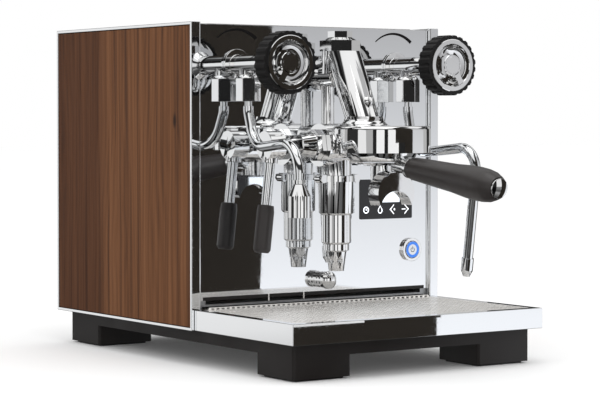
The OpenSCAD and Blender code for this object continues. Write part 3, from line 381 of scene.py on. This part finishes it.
finishes = {
    "mirror_steel": polishedMetal("mirrorSteel", (0.86, 0.87, 0.88), 0.012, 0.05, 0.12),
    "chrome_plate": polishedMetal("chromePlate", (0.87, 0.87, 0.87), 0.015, 0.06, 0.05),
    "brushed_steel": brushedMetal("satinSteel", (0.66, 0.65, 0.64), (0.46, 0.45, 0.44), (6, 0.4, 6)),
    "walnut": walnutWood(),
    "black_paint": mouldedPlastic(
        "blackMoulding", (0.0125, 0.0100, 0.0092), (0.018, 0.0150, 0.0140), 0.34, 0.5),
    "black_rubber": mouldedPlastic(
        "blackRubber", (0.0045, 0.0040, 0.0040), (0.010, 0.009, 0.009), 0.42, 0.62, 1500),
    "handle_black": mouldedPlastic(
        "handleBlack", (0.021, 0.0165, 0.0152), (0.029, 0.0235, 0.0220), 0.38, 0.47, 1400, 0.00003, 0.75),
    "display_glass": polishedMetal("displayGlass", (0.01, 0.01, 0.012), 0.02, 0.08, 0.0),
    "grey_plastic": mouldedPlastic("greyPlastic", (0.035, 0.037, 0.04), (0.06, 0.062, 0.066), 0.4, 0.6),
    "seat_ptfe": mouldedPlastic("whiteSeat", (0.82, 0.82, 0.78), (0.7, 0.69, 0.64), 0.4, 0.55),
    "tank_plastic": clearPlastic(),
    "button_steel": polishedMetal("buttonCap", (0.8, 0.82, 0.84), 0.05, 0.14, 0.02),
    "frame_steel": brushedMetal("zincPlate", (0.5, 0.5, 0.5), (0.36, 0.37, 0.38), (2, 2, 2), 0.35, 0.55),
    "copper": brushedMetal("bareCopper", (0.72, 0.40, 0.25), (0.45, 0.20, 0.11), (1, 1, 1), 0.2, 0.45),
    "brass": brushedMetal("bareBrass", (0.75, 0.58, 0.28), (0.5, 0.36, 0.15), (1, 1, 1), 0.22, 0.42),
}
finishes["display_glass"].node_tree.nodes["Principled BSDF"].inputs["Metallic"].default_value = 0.0
blueGlow = glowing("blueGlow", (0.03, 0.15, 0.56), 0.9)
screenGlow = glowing("screenGlow", (0.80, 0.86, 0.92), 0.9)
inkBlack = mouldedPlastic(
    "blackInk", (0.006, 0.005, 0.005), (0.010, 0.009, 0.009), 0.5, 0.65, 900.0, 0.00002, 0.1)
iconWhite = glowing("iconWhite", (0.9, 0.92, 0.95), 0.8)
print("materials are made:", len(bpy.data.materials))


def finishPiece(obj, slot, body, replaced=(), material=None):
    if material or not obj.data.materials:
        obj.data.materials.clear()
        obj.data.materials.append(material or finishes[slot])
    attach(obj, body)
    if replaced:
        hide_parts(*replaced)
    return obj


def pieceFrom(bm, name, sharpAngle=32):
    bmesh.ops.remove_doubles(bm, verts=bm.verts, dist=1e-6)
    bmesh.ops.recalc_face_normals(bm, faces=bm.faces)
    mesh = bpy.data.meshes.new(name)
    bm.to_mesh(mesh)
    bm.free()
    mesh.polygons.foreach_set("use_smooth", [True] * len(mesh.polygons))
    mesh.set_sharp_from_angle(angle=math.radians(sharpAngle))
    obj = bpy.data.objects.new(name, mesh)
    bpy.context.collection.objects.link(obj)
    return obj


# A smooth copy of a CAD node, with its edges eased
def easedCopy(node, ease=0.35, segments=2, sharpAngle=32):
    bm = bmesh.new()
    bm.from_mesh(frame["nodes"][node].data)
    bmesh.ops.remove_doubles(bm, verts=bm.verts, dist=2e-6)
    bmesh.ops.dissolve_limit(bm, angle_limit=math.radians(0.4), verts=bm.verts, edges=bm.edges)
    obj = pieceFrom(bm, node + "_piece", sharpAngle)
    if ease:
        bevel = obj.modifiers.new("ease", "BEVEL")
        bevel.width = ease * mm
        bevel.segments = segments
        bevel.limit_method = "ANGLE"
        bevel.angle_limit = math.radians(sharpAngle)
        bevel.harden_normals = True
        bevel.use_clamp_overlap = True
    return finishPiece(obj, nodeSlots[node], nodeBodies[node], [node])


# A solid turned about the line from base along direction; each pair is a radius and a distance, in mm
def turned(bm, base, direction, profile, sides=64):
    turn = Vector((0, 0, 1)).rotation_difference(Vector(direction)).to_matrix()
    angles = [2 * math.pi * i / sides for i in range(sides)]

    def corner(radius, angle, along):
        offset = Vector((radius * math.cos(angle), radius * math.sin(angle), along))
        return bm.verts.new(Vector(base) + turn @ offset)

    rings = []
    for radius, along in profile:
        if radius == 0:
            rings.append([corner(0, 0, along * mm)] * sides)
        else:
            rings.append([corner(radius * mm, a, along * mm) for a in angles])
    for low, high in zip(rings, rings[1:]):
        for i in range(sides):
            j = (i + 1) % sides
            corners = []
            for v in (low[i], low[j], high[j], high[i]):
                if v not in corners:
                    corners.append(v)
            bm.faces.new(corners)
    return rings


# A round tube along a line of points in metres, closed at both ends
def sweptTube(bm, points, radius, sides=24):
    rings = []
    side = Vector((1, 0, 0))
    for i, point in enumerate(points):
        ahead = (points[min(i + 1, len(points) - 1)] - points[max(i - 1, 0)]).normalized()
        side = (side - ahead * side.dot(ahead)).normalized()
        up = ahead.cross(side)
        rings.append([bm.verts.new(point + radius * mm * (math.cos(a) * side + math.sin(a) * up))
                      for a in (2 * math.pi * k / sides for k in range(sides))])
    for low, high in zip(rings, rings[1:]):
        for i in range(sides):
            bm.faces.new((low[i], low[(i + 1) % sides], high[(i + 1) % sides], high[i]))
    bm.faces.new(rings[0][::-1])
    bm.faces.new(rings[-1])


# A flat shape in the XZ plane given in mm, from its front face at y back by its thickness
def plate(bm, outline, y, thickness):
    front = [bm.verts.new((x * mm, y, z * mm)) for x, z in outline]
    back = [bm.verts.new((x * mm, y + thickness * mm, z * mm)) for x, z in outline]
    bm.faces.new(front)
    bm.faces.new(back[::-1])
    for i in range(len(outline)):
        j = (i + 1) % len(outline)
        bm.faces.new((front[j], front[i], back[i], back[j]))


def block(bm, low, high):
    low, high = Vector(low), Vector(high)
    made = bmesh.ops.create_cube(bm, size=1)["verts"]
    bmesh.ops.scale(bm, vec=high - low, verts=made)
    bmesh.ops.translate(bm, vec=(low + high) / 2, verts=made)


wandSize = {"tube": 5, "neck": 3.6, "ball": 7.5, "start": 11.5}

# straight length, turn in degrees and bend radius of each step, in mm from the nut down
wands = {
    "hot_water_wand": {"joint": "left_wand_swivel", "yaw": -7,
                       "steps": [(3, 22.7, 14), (12.9, 71.9, 30), (38.7, -94.6, 29.6), (5.2, 0, 0)]},
    "steam_wand": {"joint": "right_wand_swivel", "yaw": 0,
                   "steps": [(3, 12, 16), (21, 83, 24), (54.7, -103, 22), (86.5, 0, 0)]},
}


def makeWand(node):
    values = wands[node]
    ball = jointPlace(values["joint"])
    yaw = math.radians(values["yaw"])
    line = [(0.0, 0.0)]
    out, down, slope = 0.0, 0.0, 0.0
    for length, bend, radius in values["steps"]:
        count = max(2, int(length / 4))
        for i in range(1, count + 1):
            run = length * i / count
            line.append((out + run * math.sin(slope), down + run * math.cos(slope)))
        out, down = line[-1]
        end = slope + math.radians(bend)
        reach = radius if bend >= 0 else -radius
        count = int(abs(bend) / 5)
        for i in range(1, count + 1):
            now = slope + (end - slope) * i / count
            line.append((out + reach * (math.cos(slope) - math.cos(now)),
                         down + reach * (math.sin(now) - math.sin(slope))))
        out, down = line[-1]
        slope = end
    size = wandSize
    points = [ball + Vector((o * math.sin(yaw), -o * math.cos(yaw), -size["start"] - d)) * mm
              for o, d in line]
    angles = [math.radians(d) for d in range(29, 180, 10)]
    roundBall = [(size["ball"] * math.sin(a), -size["ball"] * math.cos(a)) for a in angles]
    bm = bmesh.new()
    sweptTube(bm, points, size["tube"])
    low = -size["start"] - 0.5
    turned(bm, ball, (0, 0, 1),
           [(0, low), (size["neck"], low), (size["neck"], -6.6), *roundBall, (0, size["ball"])], 40)
    finishPiece(pieceFrom(bm, node + "_piece", 40), nodeSlots[node], nodeBodies[node], [node])


for node in wands:
    makeWand(node)

grate = {"across": 46, "deep": 25, "edge": 5.0, "hole": 1.95, "sides": 8, "thick": 1.3, "foot": 6}


# The tray's cover: a thin plate with close rows of round holes, on four feet
def makeGrate():
    low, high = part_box("drip_grate")
    top, under = high.z, high.z - grate["thick"] * mm
    edge = grate["edge"] * mm
    x0, x1, y0, y1 = low.x + edge, high.x - edge, low.y + edge, high.y - edge
    stepX, stepY = (x1 - x0) / grate["across"], (y1 - y0) / grate["deep"]
    bm = bmesh.new()
    corners = {}

    def corner(i, j, z):
        if (i, j, z) not in corners:
            x = low.x if i < 0 else high.x if i > grate["across"] else x0 + i * stepX
            y = low.y if j < 0 else high.y if j > grate["deep"] else y0 + j * stepY
            corners[i, j, z] = bm.verts.new((x, y, z))
        return corners[i, j, z]

    columns = [-1] + list(range(grate["across"] + 1)) + [grate["across"] + 1]
    rows = [-1] + list(range(grate["deep"] + 1)) + [grate["deep"] + 1]
    for i, nextI in zip(columns, columns[1:]):
        for j, nextJ in zip(rows, rows[1:]):
            square = [(i, j), (nextI, j), (nextI, nextJ), (i, nextJ)]
            if i < 0 or j < 0 or i >= grate["across"] or j >= grate["deep"]:
                bm.faces.new([corner(a, b, top) for a, b in square])
                bm.faces.new([corner(a, b, under) for a, b in square[::-1]])
                continue
            middle = Vector((x0 + (i + 0.5) * stepX, y0 + (j + 0.5) * stepY, 0))
            count = grate["sides"]
            angles = [math.radians(225) + 2 * math.pi * k / count for k in range(count)]
            ring = [middle + grate["hole"] * mm * Vector((math.cos(a), math.sin(a), 0)) for a in angles]
            upper = [bm.verts.new((v.x, v.y, top)) for v in ring]
            lower = [bm.verts.new((v.x, v.y, under)) for v in ring]
            for k in range(count):
                n = (k + 1) % count
                bm.faces.new((upper[n], upper[k], lower[k], lower[n]))
            for side in range(4):
                a, b = square[side], square[(side + 1) % 4]
                run = [side * 2, side * 2 + 1, (side * 2 + 2) % count]
                bm.faces.new([corner(*a, top), corner(*b, top)] + [upper[k] for k in run[::-1]])
                bm.faces.new([corner(*b, under), corner(*a, under)] + [lower[k] for k in run])
    outer = [(a, -1) for a in columns] + [(grate["across"] + 1, b) for b in rows[1:]]
    outer += [(a, grate["deep"] + 1) for a in columns[-2::-1]] + [(-1, b) for b in rows[-2:0:-1]]
    for a, b in zip(outer, outer[1:] + outer[:1]):
        bm.faces.new((corner(*a, top), corner(*a, under), corner(*b, under), corner(*b, top)))
    half = grate["foot"] * mm / 2
    for x in (low.x + 12 * mm, high.x - 12 * mm):
        for y in (low.y + 0.2 * (high.y - low.y), low.y + 0.8 * (high.y - low.y)):
            block(bm, (x - half, y - half, low.z), (x + half, y + half, under))
    cover = pieceFrom(bm, "drip_grate_piece", 30)
    finishPiece(cover, nodeSlots["drip_grate"], "drip_grate", ["drip_grate"], perforated)


perforated = brushedMetal("perforatedSteel", (1.0, 0.98, 0.95), (0.86, 0.83, 0.80), (0.5, 5, 1), 0.16, 0.34)
perforated.node_tree.nodes["Principled BSDF"].inputs["Metallic"].default_value = 0.12
makeGrate()

knob = {"ring": 26, "inner": 20.6, "hub": 10.6, "depth": 18.4, "dish": 10.5, "spoke": 6.2, "lean": 32}


# A knob's chrome core: a flat ring, a dish, a grooved hub and one waisted spoke
def makeKnobCore(node, side):
    low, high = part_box(node)
    centre = Vector(((low.x + high.x) / 2, low.y, (low.z + high.z) / 2))
    ring, inner, hub, dish = knob["ring"], knob["inner"], knob["hub"], knob["dish"]
    bm = bmesh.new()
    turned(bm, centre, (0, 1, 0), [
        (0, 0.5), (hub - 2.6, 0.5), (hub - 2.2, 1.1), (hub - 1.6, 1.1), (hub - 1.2, 0.3), (hub - 0.4, 0.3),
        (hub, 0.8), (hub, dish - 1.2), (hub + 0.5, dish - 0.3), (hub + 1.6, dish),
        (inner - 5, dish - 1.2), (inner - 2.2, dish - 4), (inner - 0.6, 4.2), (inner, 1.6),
        (inner + 0.2, 0.5), (inner + 0.7, 0.05), (ring - 0.8, 0.05), (ring - 0.2, 0.4), (ring, 1.0),
        (ring, knob["depth"] - 1), (ring - 5, knob["depth"]), (0, knob["depth"])], 96)
    # the spoke, wider where it joins the hub and the ring
    outline = []
    count = 16
    for i in range(count + 1):
        t = i / count
        flare = 1.9 * (abs(2 * t - 1) ** 3.2)
        outline.append((hub - 1.2 + t * (inner - hub + 2.2), knob["spoke"] / 2 + flare))
    outline += [(r, -w) for r, w in outline[::-1]]
    angle = math.radians(-90 + side * knob["lean"])
    c, s = math.cos(angle), math.sin(angle)
    turn = [(r * c - w * s, r * s + w * c) for r, w in outline]
    plate(bm, [(centre.x / mm + x, centre.z / mm + z) for x, z in turn], centre.y + 0.3 * mm, dish - 1)
    finishPiece(pieceFrom(bm, node + "_piece", 28), nodeSlots[node], nodeBodies[node], [node])


makeKnobCore("left_knob_core", -1)
makeKnobCore("right_knob_core", 1)

panelMarks = {"radius": 34, "reach": 41.5, "thin": 1.1, "thick": 3.4, "proud": 0.12,
              "shift": {"left_knob_turn": 0.8, "right_knob_turn": -2.0}}


# The printed sweeps over the two valves, thicker towards open
def makeSweeps():
    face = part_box("front_panel")[0].y
    bm = bmesh.new()
    for name, shift in panelMarks["shift"].items():
        centre = jointPlace(name) + Vector((shift * mm, 0, 0))
        count = 40
        outer, inner = [], []
        for i in range(count + 1):
            t = i / count
            angle = math.radians(90 + panelMarks["reach"] * (1 - 2 * t))
            half = (panelMarks["thin"] + (panelMarks["thick"] - panelMarks["thin"]) * t) / 2
            x, z = centre.x / mm, centre.z / mm
            for edge, radius in ((outer, panelMarks["radius"] + half), (inner, panelMarks["radius"] - half)):
                edge.append((x + radius * math.cos(angle), z + radius * math.sin(angle)))
        proud = panelMarks["proud"]
        for i in range(count):
            plate(bm, [outer[i], outer[i + 1], inner[i + 1], inner[i]], face - proud * mm, proud)
    finishPiece(pieceFrom(bm, "panel_sweeps"), "black_paint", "machine", (), inkBlack)


makeSweeps()

screen = {
    "lit": (67.5, 152.4, 102.1, 173.0),  # low x, low z, high x, high z of the lit field
    "row": 145.0,  # height of the row of signs
    "stroke": 0.9,
    "proud": 0.1,
}


def strokeLine(bm, points, width, y, thickness):
    for (x0, z0), (x1, z1) in zip(points, points[1:]):
        along = Vector((x1 - x0, z1 - z0)).normalized() * width / 2
        across = Vector((-along.y, along.x))
        ends = [Vector((x0, z0)) - along + across, Vector((x1, z1)) + along + across,
                Vector((x1, z1)) + along - across, Vector((x0, z0)) - along - across]
        plate(bm, [(e.x, e.y) for e in ends], y, thickness)


def roundOutline(x, z, radius, count=20):
    angles = [2 * math.pi * i / count for i in range(count)]
    return [(x + radius * math.cos(a), z + radius * math.sin(a)) for a in angles]


# The screen's lit field and four plain signs: a clock, a drop and two arrows
def makeScreen():
    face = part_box("touch_display")[0].y - screen["proud"] * mm
    x0, z0, x1, z1 = screen["lit"]
    bm = bmesh.new()
    plate(bm, [(x0, z0), (x1, z0), (x1, z1), (x0, z1)], face, screen["proud"])
    finishPiece(pieceFrom(bm, "screen_field"), "display_glass", "machine", (), screenGlow)
    bm = bmesh.new()
    row, width, deep = screen["row"], screen["stroke"], screen["proud"]
    ring = roundOutline(59.6, row, 3.0, 20)
    strokeLine(bm, ring + ring[:1], 0.8, face, deep)
    strokeLine(bm, [(59.6, row + 1.8), (59.6, row), (61.2, row)], 0.7, face, deep)
    drop = [(77.4, row + 3.8), (79.6, row + 0.4), (79.8, row - 1.4), (78.8, row - 3.0), (77.4, row - 3.5),
            (76.0, row - 3.0), (75.0, row - 1.4), (75.2, row + 0.4)]
    strokeLine(bm, drop + drop[:1], width, face, deep)
    strokeLine(bm, [(94.6, row + 4.4), (90.4, row), (94.6, row - 4.4)], 1.1, face, deep)
    plate(bm, roundOutline(95.6, row, 1.1), face, deep)
    strokeLine(bm, [(109.0, row + 4.4), (113.2, row), (109.0, row - 4.4)], 1.1, face, deep)
    strokeLine(bm, [(105.6, row), (109.4, row)], 1.1, face, deep)
    finishPiece(pieceFrom(bm, "screen_signs"), "display_glass", "machine", (), iconWhite)


makeScreen()

light = {"margin": 0.35, "inner": 5.4, "proud": 0.12}


# The lit ring on the button, with a plain power sign inside it
def makeButtonRing():
    low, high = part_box("power_button")
    centre = boxMiddle("power_button")
    face = Vector((centre.x, low.y, centre.z))
    bm = bmesh.new()
    outer, inner, proud = (high.x - low.x) / 2 / mm - light["margin"], light["inner"], light["proud"]
    front = 0.04 - proud
    profile = [(inner, 0.2), (inner, front), (outer, front), (outer, 0.2), (inner, 0.2)]
    turned(bm, face, (0, 1, 0), profile, 64)
    finishPiece(pieceFrom(bm, "button_light"), "button_steel", "button", (), blueGlow)
    bm = bmesh.new()
    x, z = centre.x / mm, centre.z / mm
    angles = [math.radians(40 + 14 * i) for i in range(21)]
    ring = [(x + 2.2 * math.sin(a), z + 2.2 * math.cos(a)) for a in angles]
    strokeLine(bm, ring, 0.55, low.y - 0.08 * mm, 0.2)
    strokeLine(bm, [(x, z + 0.4), (x, z + 3.0)], 0.55, low.y - 0.08 * mm, 0.2)
    finishPiece(pieceFrom(bm, "button_sign"), "button_steel", "button", (), inkBlack)


makeButtonRing()

# Rounded shoulders over the wand nuts
def makeShoulders():
    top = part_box("wand_nuts")[1].z
    profile = [(0, 0.01), (11.4, 0.01), (11.0, 1.3), (9.6, 2.8), (7.4, 4.0), (0, 4.2)]
    bm = bmesh.new()
    for name in ("left_wand_swivel", "right_wand_swivel"):
        place = jointPlace(name)
        turned(bm, (place.x, place.y, top), (0, 0, 1), profile, 48)
    finishPiece(pieceFrom(bm, "nut_shoulders", 40), "chrome_plate", "machine")


makeShoulders()

slot = {"high": 3.4, "inset": 4.0, "posts": (-58.5, -16.6), "post": 1.3}
comb = {"bar": 0.7, "tooth": 2.6, "pitch": 5.9, "rise": 1.3}


# The dark slot under the panel, drawn as a thin black sheet of painted shade on the panel's foot, with its
# two bright posts, and the comb along the back of the tray's cover
def makeSlot():
    low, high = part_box("front_panel")
    bm = bmesh.new()
    inset = slot["inset"] * mm
    # painted shade: a black strip 0.1 mm proud of the panel's lower edge stands in for the shade inside the
    # slot
    block(bm, (low.x + inset, low.y - 0.10 * mm, low.z), (high.x - inset, low.y, low.z + slot["high"] * mm))
    finishPiece(pieceFrom(bm, "painted_slot_shade"), "black_paint", "machine")
    bm = bmesh.new()
    half, tall = slot["post"] / 2, slot["high"] * mm
    for x in slot["posts"]:
        block(bm, ((x - half) * mm, low.y - 0.30 * mm, low.z - tall),
              ((x + half) * mm, low.y - 0.12 * mm, low.z + tall))
    finishPiece(pieceFrom(bm, "slot_posts"), "brushed_steel", "machine", (), perforated)
    low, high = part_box("drip_grate")
    rise, y0, y1 = high.z + comb["rise"] * mm, high.y - 1.2 * mm, high.y - 0.4 * mm
    bm = bmesh.new()
    block(bm, (low.x + inset, y0, rise), (high.x - inset, y1, rise + comb["bar"] * mm))
    count = int((high.x - low.x - 2 * inset) / mm / comb["pitch"])
    for i in range(count + 1):
        x = low.x + inset + i * comb["pitch"] * mm
        block(bm, (x, y0, high.z - 0.05 * mm), (x + comb["tooth"] * mm, y1, rise))
    finishPiece(pieceFrom(bm, "grate_comb"), "brushed_steel", "drip_grate", (), perforated)


makeSlot()
print("special pieces are made")

easedNodes = {
    "left_side_frame": 0.5, "right_side_frame": 0.5, "left_wood_panel": 0.4, "right_wood_panel": 0.4,
    "front_panel": 0.2, "back_cover": 0.2, "top_frame": 0.4, "drip_tray_rim": 0.5, "base_plinth": 1.4,
    "foot_pads": 0.5, "touch_display": 0.2, "button_bezel": 0.5, "power_button": 0.4, "valve_bodies": 0.4,
    "valve_bonnets": 0.4, "wand_nuts": 0.5, "group_body": 0.5, "group_cap": 0.7, "group_jet_plug": 0.5,
    "cam_nut": 0.5, "lever_hub": 0.8, "lever_rod": 0.2, "lever_grip": 0.6, "infusion_chamber": 0.3,
    "exhaust_housing": 0.3, "drain_nozzle": 0.4, "relief_outlet": 0.4, "portafilter_body": 0.6,
    "portafilter_spout": 1.2, "portafilter_handle": 0, "handle_cap": 0.4, "hot_water_nozzle": 0.4,
    "steam_tip": 0.3, "left_knob_grip": 0.5, "right_knob_grip": 0.5, "cup_tray": 0.4,
}
replacedNodes = {*wands, "drip_grate", "left_knob_core", "right_knob_core"}
for node, slot in nodeSlots.items():
    if node in replacedNodes:
        continue
    if node in easedNodes:
        easedCopy(node, easedNodes[node])
    else:
        obj = frame["nodes"][node]
        obj.data.materials.clear()
        obj.data.materials.append(finishes[slot])
print("CAD nodes are dressed")


studio = {
    "sky": 1.0,  # how brightly the white room lights the machine
    "floorColour": (0.955, 0.955, 0.955),
    "floorLift": 0.05,
    "keyPower": 9,
    # what polished metal sees around the room: degrees to the right of the camera, brightness from there on
    "bands": [(-180, 0.50), (-150, 0.04), (-138, 0.30), (-124, 0.90), (-100, 0.45), (-90, 0.03), (-60, 0.90),
              (-38, 0.45), (-23, 0.02), (-15, 1.0), (3.5, 0.02), (12, 1.0), (37, 0.02), (54, 0.85),
              (108, 0.50), (128, 0.03), (146, 0.45), (168, 0.04), (174, 0.5)],
    # the same from the floor up, in sines of the angle
    "heights": [(-1.0, 0.05), (-0.60, 0.10), (-0.42, 0.42), (-0.34, 0.10), (-0.14, 0.30), (-0.10, 1.0),
                (0.26, 1.0), (0.31, 0.05), (0.52, 0.04),
                (0.57, 0.95), (0.80, 1.0), (0.84, 0.06), (0.93, 0.05), (0.96, 0.9)],
    # black cards seen only in reflections: their corners across and up, in front of the machine
    "flags": {
        "flagHigh": [(0.0615, 0.030), (0.1604, 0.030), (0.193, 0.6), (-0.030, 0.6),
                     (-0.030, 0.22), (0.0615, 0.22)],
        "flagLow": [(-0.050, -0.12), (0.155, -0.12), (0.155, 0.030), (-0.050, 0.030)],
    },
    # a pale card beside them: its corners, brightness at its foot and at its top
    "card": ([(0.155, -0.12), (1.1, -0.12), (1.1, 0.62), (0.155, 0.62)],
             (1.03, 1.05, 1.09), (0.49, 0.49, 0.50)),
    "flagPlace": -0.341,
    "cardPlace": -0.343,
}


def flatMaterial(name, colour, lift=0.0):
    material = bpy.data.materials.new(name)
    material.use_nodes = True
    shader = material.node_tree.nodes["Principled BSDF"]
    shader.inputs["Base Color"].default_value = (*colour, 1)
    shader.inputs["Roughness"].default_value = 0.9
    shader.inputs["Specular IOR Level"].default_value = 0.0
    shader.inputs["Emission Color"].default_value = (1, 1, 1, 1)
    shader.inputs["Emission Strength"].default_value = lift
    return material


# A white room for the eye and for soft light, with a banded one for polished metal to mirror
def makeSky(world):
    tree = world.node_tree
    background = tree.nodes["Background"]
    background.inputs["Strength"].default_value = studio["sky"]
    coords = addNode(tree, "ShaderNodeTexCoord", (-1600, 0))
    turn = math.radians(camera["turn"])
    flat = []
    for across in ((-math.sin(turn), -math.cos(turn), 0), (math.cos(turn), -math.sin(turn), 0)):
        dot = addNode(tree, "ShaderNodeVectorMath", (-1400, 200), operation="DOT_PRODUCT")
        dot.inputs[1].default_value = across
        wire(tree, coords.outputs["Generated"], dot.inputs[0])
        flat.append(dot.outputs["Value"])
    angle = addNode(tree, "ShaderNodeMath", (-1200, 200), operation="ARCTAN2")
    wire(tree, flat[1], angle.inputs[0])
    wire(tree, flat[0], angle.inputs[1])
    unit = addNode(tree, "ShaderNodeMath", (-1000, 200), operation="MULTIPLY_ADD")
    unit.inputs[1].default_value = 1 / (2 * math.pi)
    unit.inputs[2].default_value = 0.5
    wire(tree, angle.outputs[0], unit.inputs[0])
    around = ramp(tree, (-800, 200), [((at + 180) / 360, (v, v, v)) for at, v in studio["bands"]])
    around.color_ramp.interpolation = "CONSTANT"
    wire(tree, unit.outputs[0], around.inputs["Fac"])
    split = addNode(tree, "ShaderNodeSeparateXYZ", (-1400, -200))
    wire(tree, coords.outputs["Generated"], split.inputs[0])
    up = addNode(tree, "ShaderNodeMath", (-1200, -200), operation="MULTIPLY_ADD")
    up.inputs[1].default_value = 0.5
    up.inputs[2].default_value = 0.5
    wire(tree, split.outputs["Z"], up.inputs[0])
    heights = ramp(tree, (-1000, -200), [((at + 1) / 2, (v, v, v)) for at, v in studio["heights"]])
    wire(tree, up.outputs[0], heights.inputs["Fac"])
    # low down the bands rule, overhead they fade out
    fade = addNode(tree, "ShaderNodeMapRange", (-800, -450))
    fade.inputs["From Min"].default_value = 0.30
    fade.inputs["From Max"].default_value = 0.56
    wire(tree, split.outputs["Z"], fade.inputs["Value"])
    ring = addNode(tree, "ShaderNodeMix", (-550, 150), data_type="RGBA")
    ring.inputs["B"].default_value = (1, 1, 1, 1)
    wire(tree, fade.outputs["Result"], ring.inputs["Factor"])
    wire(tree, around.outputs["Color"], ring.inputs["A"])
    both = addNode(tree, "ShaderNodeMix", (-300, 100), data_type="RGBA", blend_type="MULTIPLY")
    both.inputs["Factor"].default_value = 1
    wire(tree, ring.outputs["Result"], both.inputs["A"])
    wire(tree, heights.outputs["Color"], both.inputs["B"])
    light = addNode(tree, "ShaderNodeLightPath", (-550, 450))
    seen = addNode(tree, "ShaderNodeMix", (-100, 100), data_type="RGBA")
    seen.inputs["A"].default_value = (1, 1, 1, 1)
    wire(tree, light.outputs["Is Glossy Ray"], seen.inputs["Factor"])
    wire(tree, both.outputs["Result"], seen.inputs["B"])
    wire(tree, seen.outputs["Result"], background.inputs["Color"])


def makeCard(name, corners, place, material):
    bm = bmesh.new()
    bm.faces.new([bm.verts.new((x, place, z)) for x, z in corners])
    mesh = bpy.data.meshes.new(name)
    bm.to_mesh(mesh)
    bm.free()
    card = bpy.data.objects.new(name, mesh)
    mesh.materials.append(material)
    bpy.context.collection.objects.link(card)
    card.visible_camera = card.visible_diffuse = card.visible_shadow = card.visible_transmission = False


def paleCard():
    corners, foot, top = studio["card"]
    material = bpy.data.materials.new("paleCard")
    material.use_nodes = True
    tree = material.node_tree
    shader = tree.nodes["Principled BSDF"]
    shader.inputs["Base Color"].default_value = (0, 0, 0, 1)
    shader.inputs["Specular IOR Level"].default_value = 0.0
    shader.inputs["Emission Strength"].default_value = 1.0
    coords = addNode(tree, "ShaderNodeTexCoord", (-900, 0))
    split = addNode(tree, "ShaderNodeSeparateXYZ", (-700, 0))
    rise = addNode(tree, "ShaderNodeMapRange", (-500, 0))
    rise.inputs["From Min"].default_value = 0.02
    rise.inputs["From Max"].default_value = 0.36
    tone = ramp(tree, (-300, 0), [(0.0, foot), (1.0, top)])
    wire(tree, coords.outputs["Object"], split.inputs[0])
    wire(tree, split.outputs["Z"], rise.inputs["Value"])
    wire(tree, rise.outputs["Result"], tone.inputs["Fac"])
    wire(tree, tone.outputs["Color"], shader.inputs["Emission Color"])
    makeCard("paleCard", corners, studio["cardPlace"], material)


def makeStudio():
    scene = bpy.context.scene
    scene.view_settings.view_transform = "Standard"
    world = bpy.data.worlds.new("studio")
    world.use_nodes = True
    makeSky(world)
    scene.world = world

    bm = bmesh.new()
    bmesh.ops.create_grid(bm, x_segments=1, y_segments=1, size=12)
    mesh = bpy.data.meshes.new("floor")
    bm.to_mesh(mesh)
    bm.free()
    floor = bpy.data.objects.new("floor", mesh)
    mesh.materials.append(flatMaterial("floorPaper", studio["floorColour"], studio["floorLift"]))
    bpy.context.collection.objects.link(floor)
    floor.visible_glossy = False

    black = flatMaterial("flagBlack", (0.030, 0.026, 0.022))
    for name, corners in studio["flags"].items():
        makeCard(name, corners, studio["flagPlace"], black)
    paleCard()

    data = bpy.data.lights.new("topSoftbox", "AREA")
    data.size, data.energy = 1.6, studio["keyPower"]
    light = bpy.data.objects.new("topSoftbox", data)
    light.location = (-0.3, -0.2, 2.0)
    light.rotation_euler = (Vector((0, 0, 0.1)) - light.location).to_track_quat("-Z", "Y").to_euler()
    bpy.context.collection.objects.link(light)


makeStudio()
print("studio is lit")
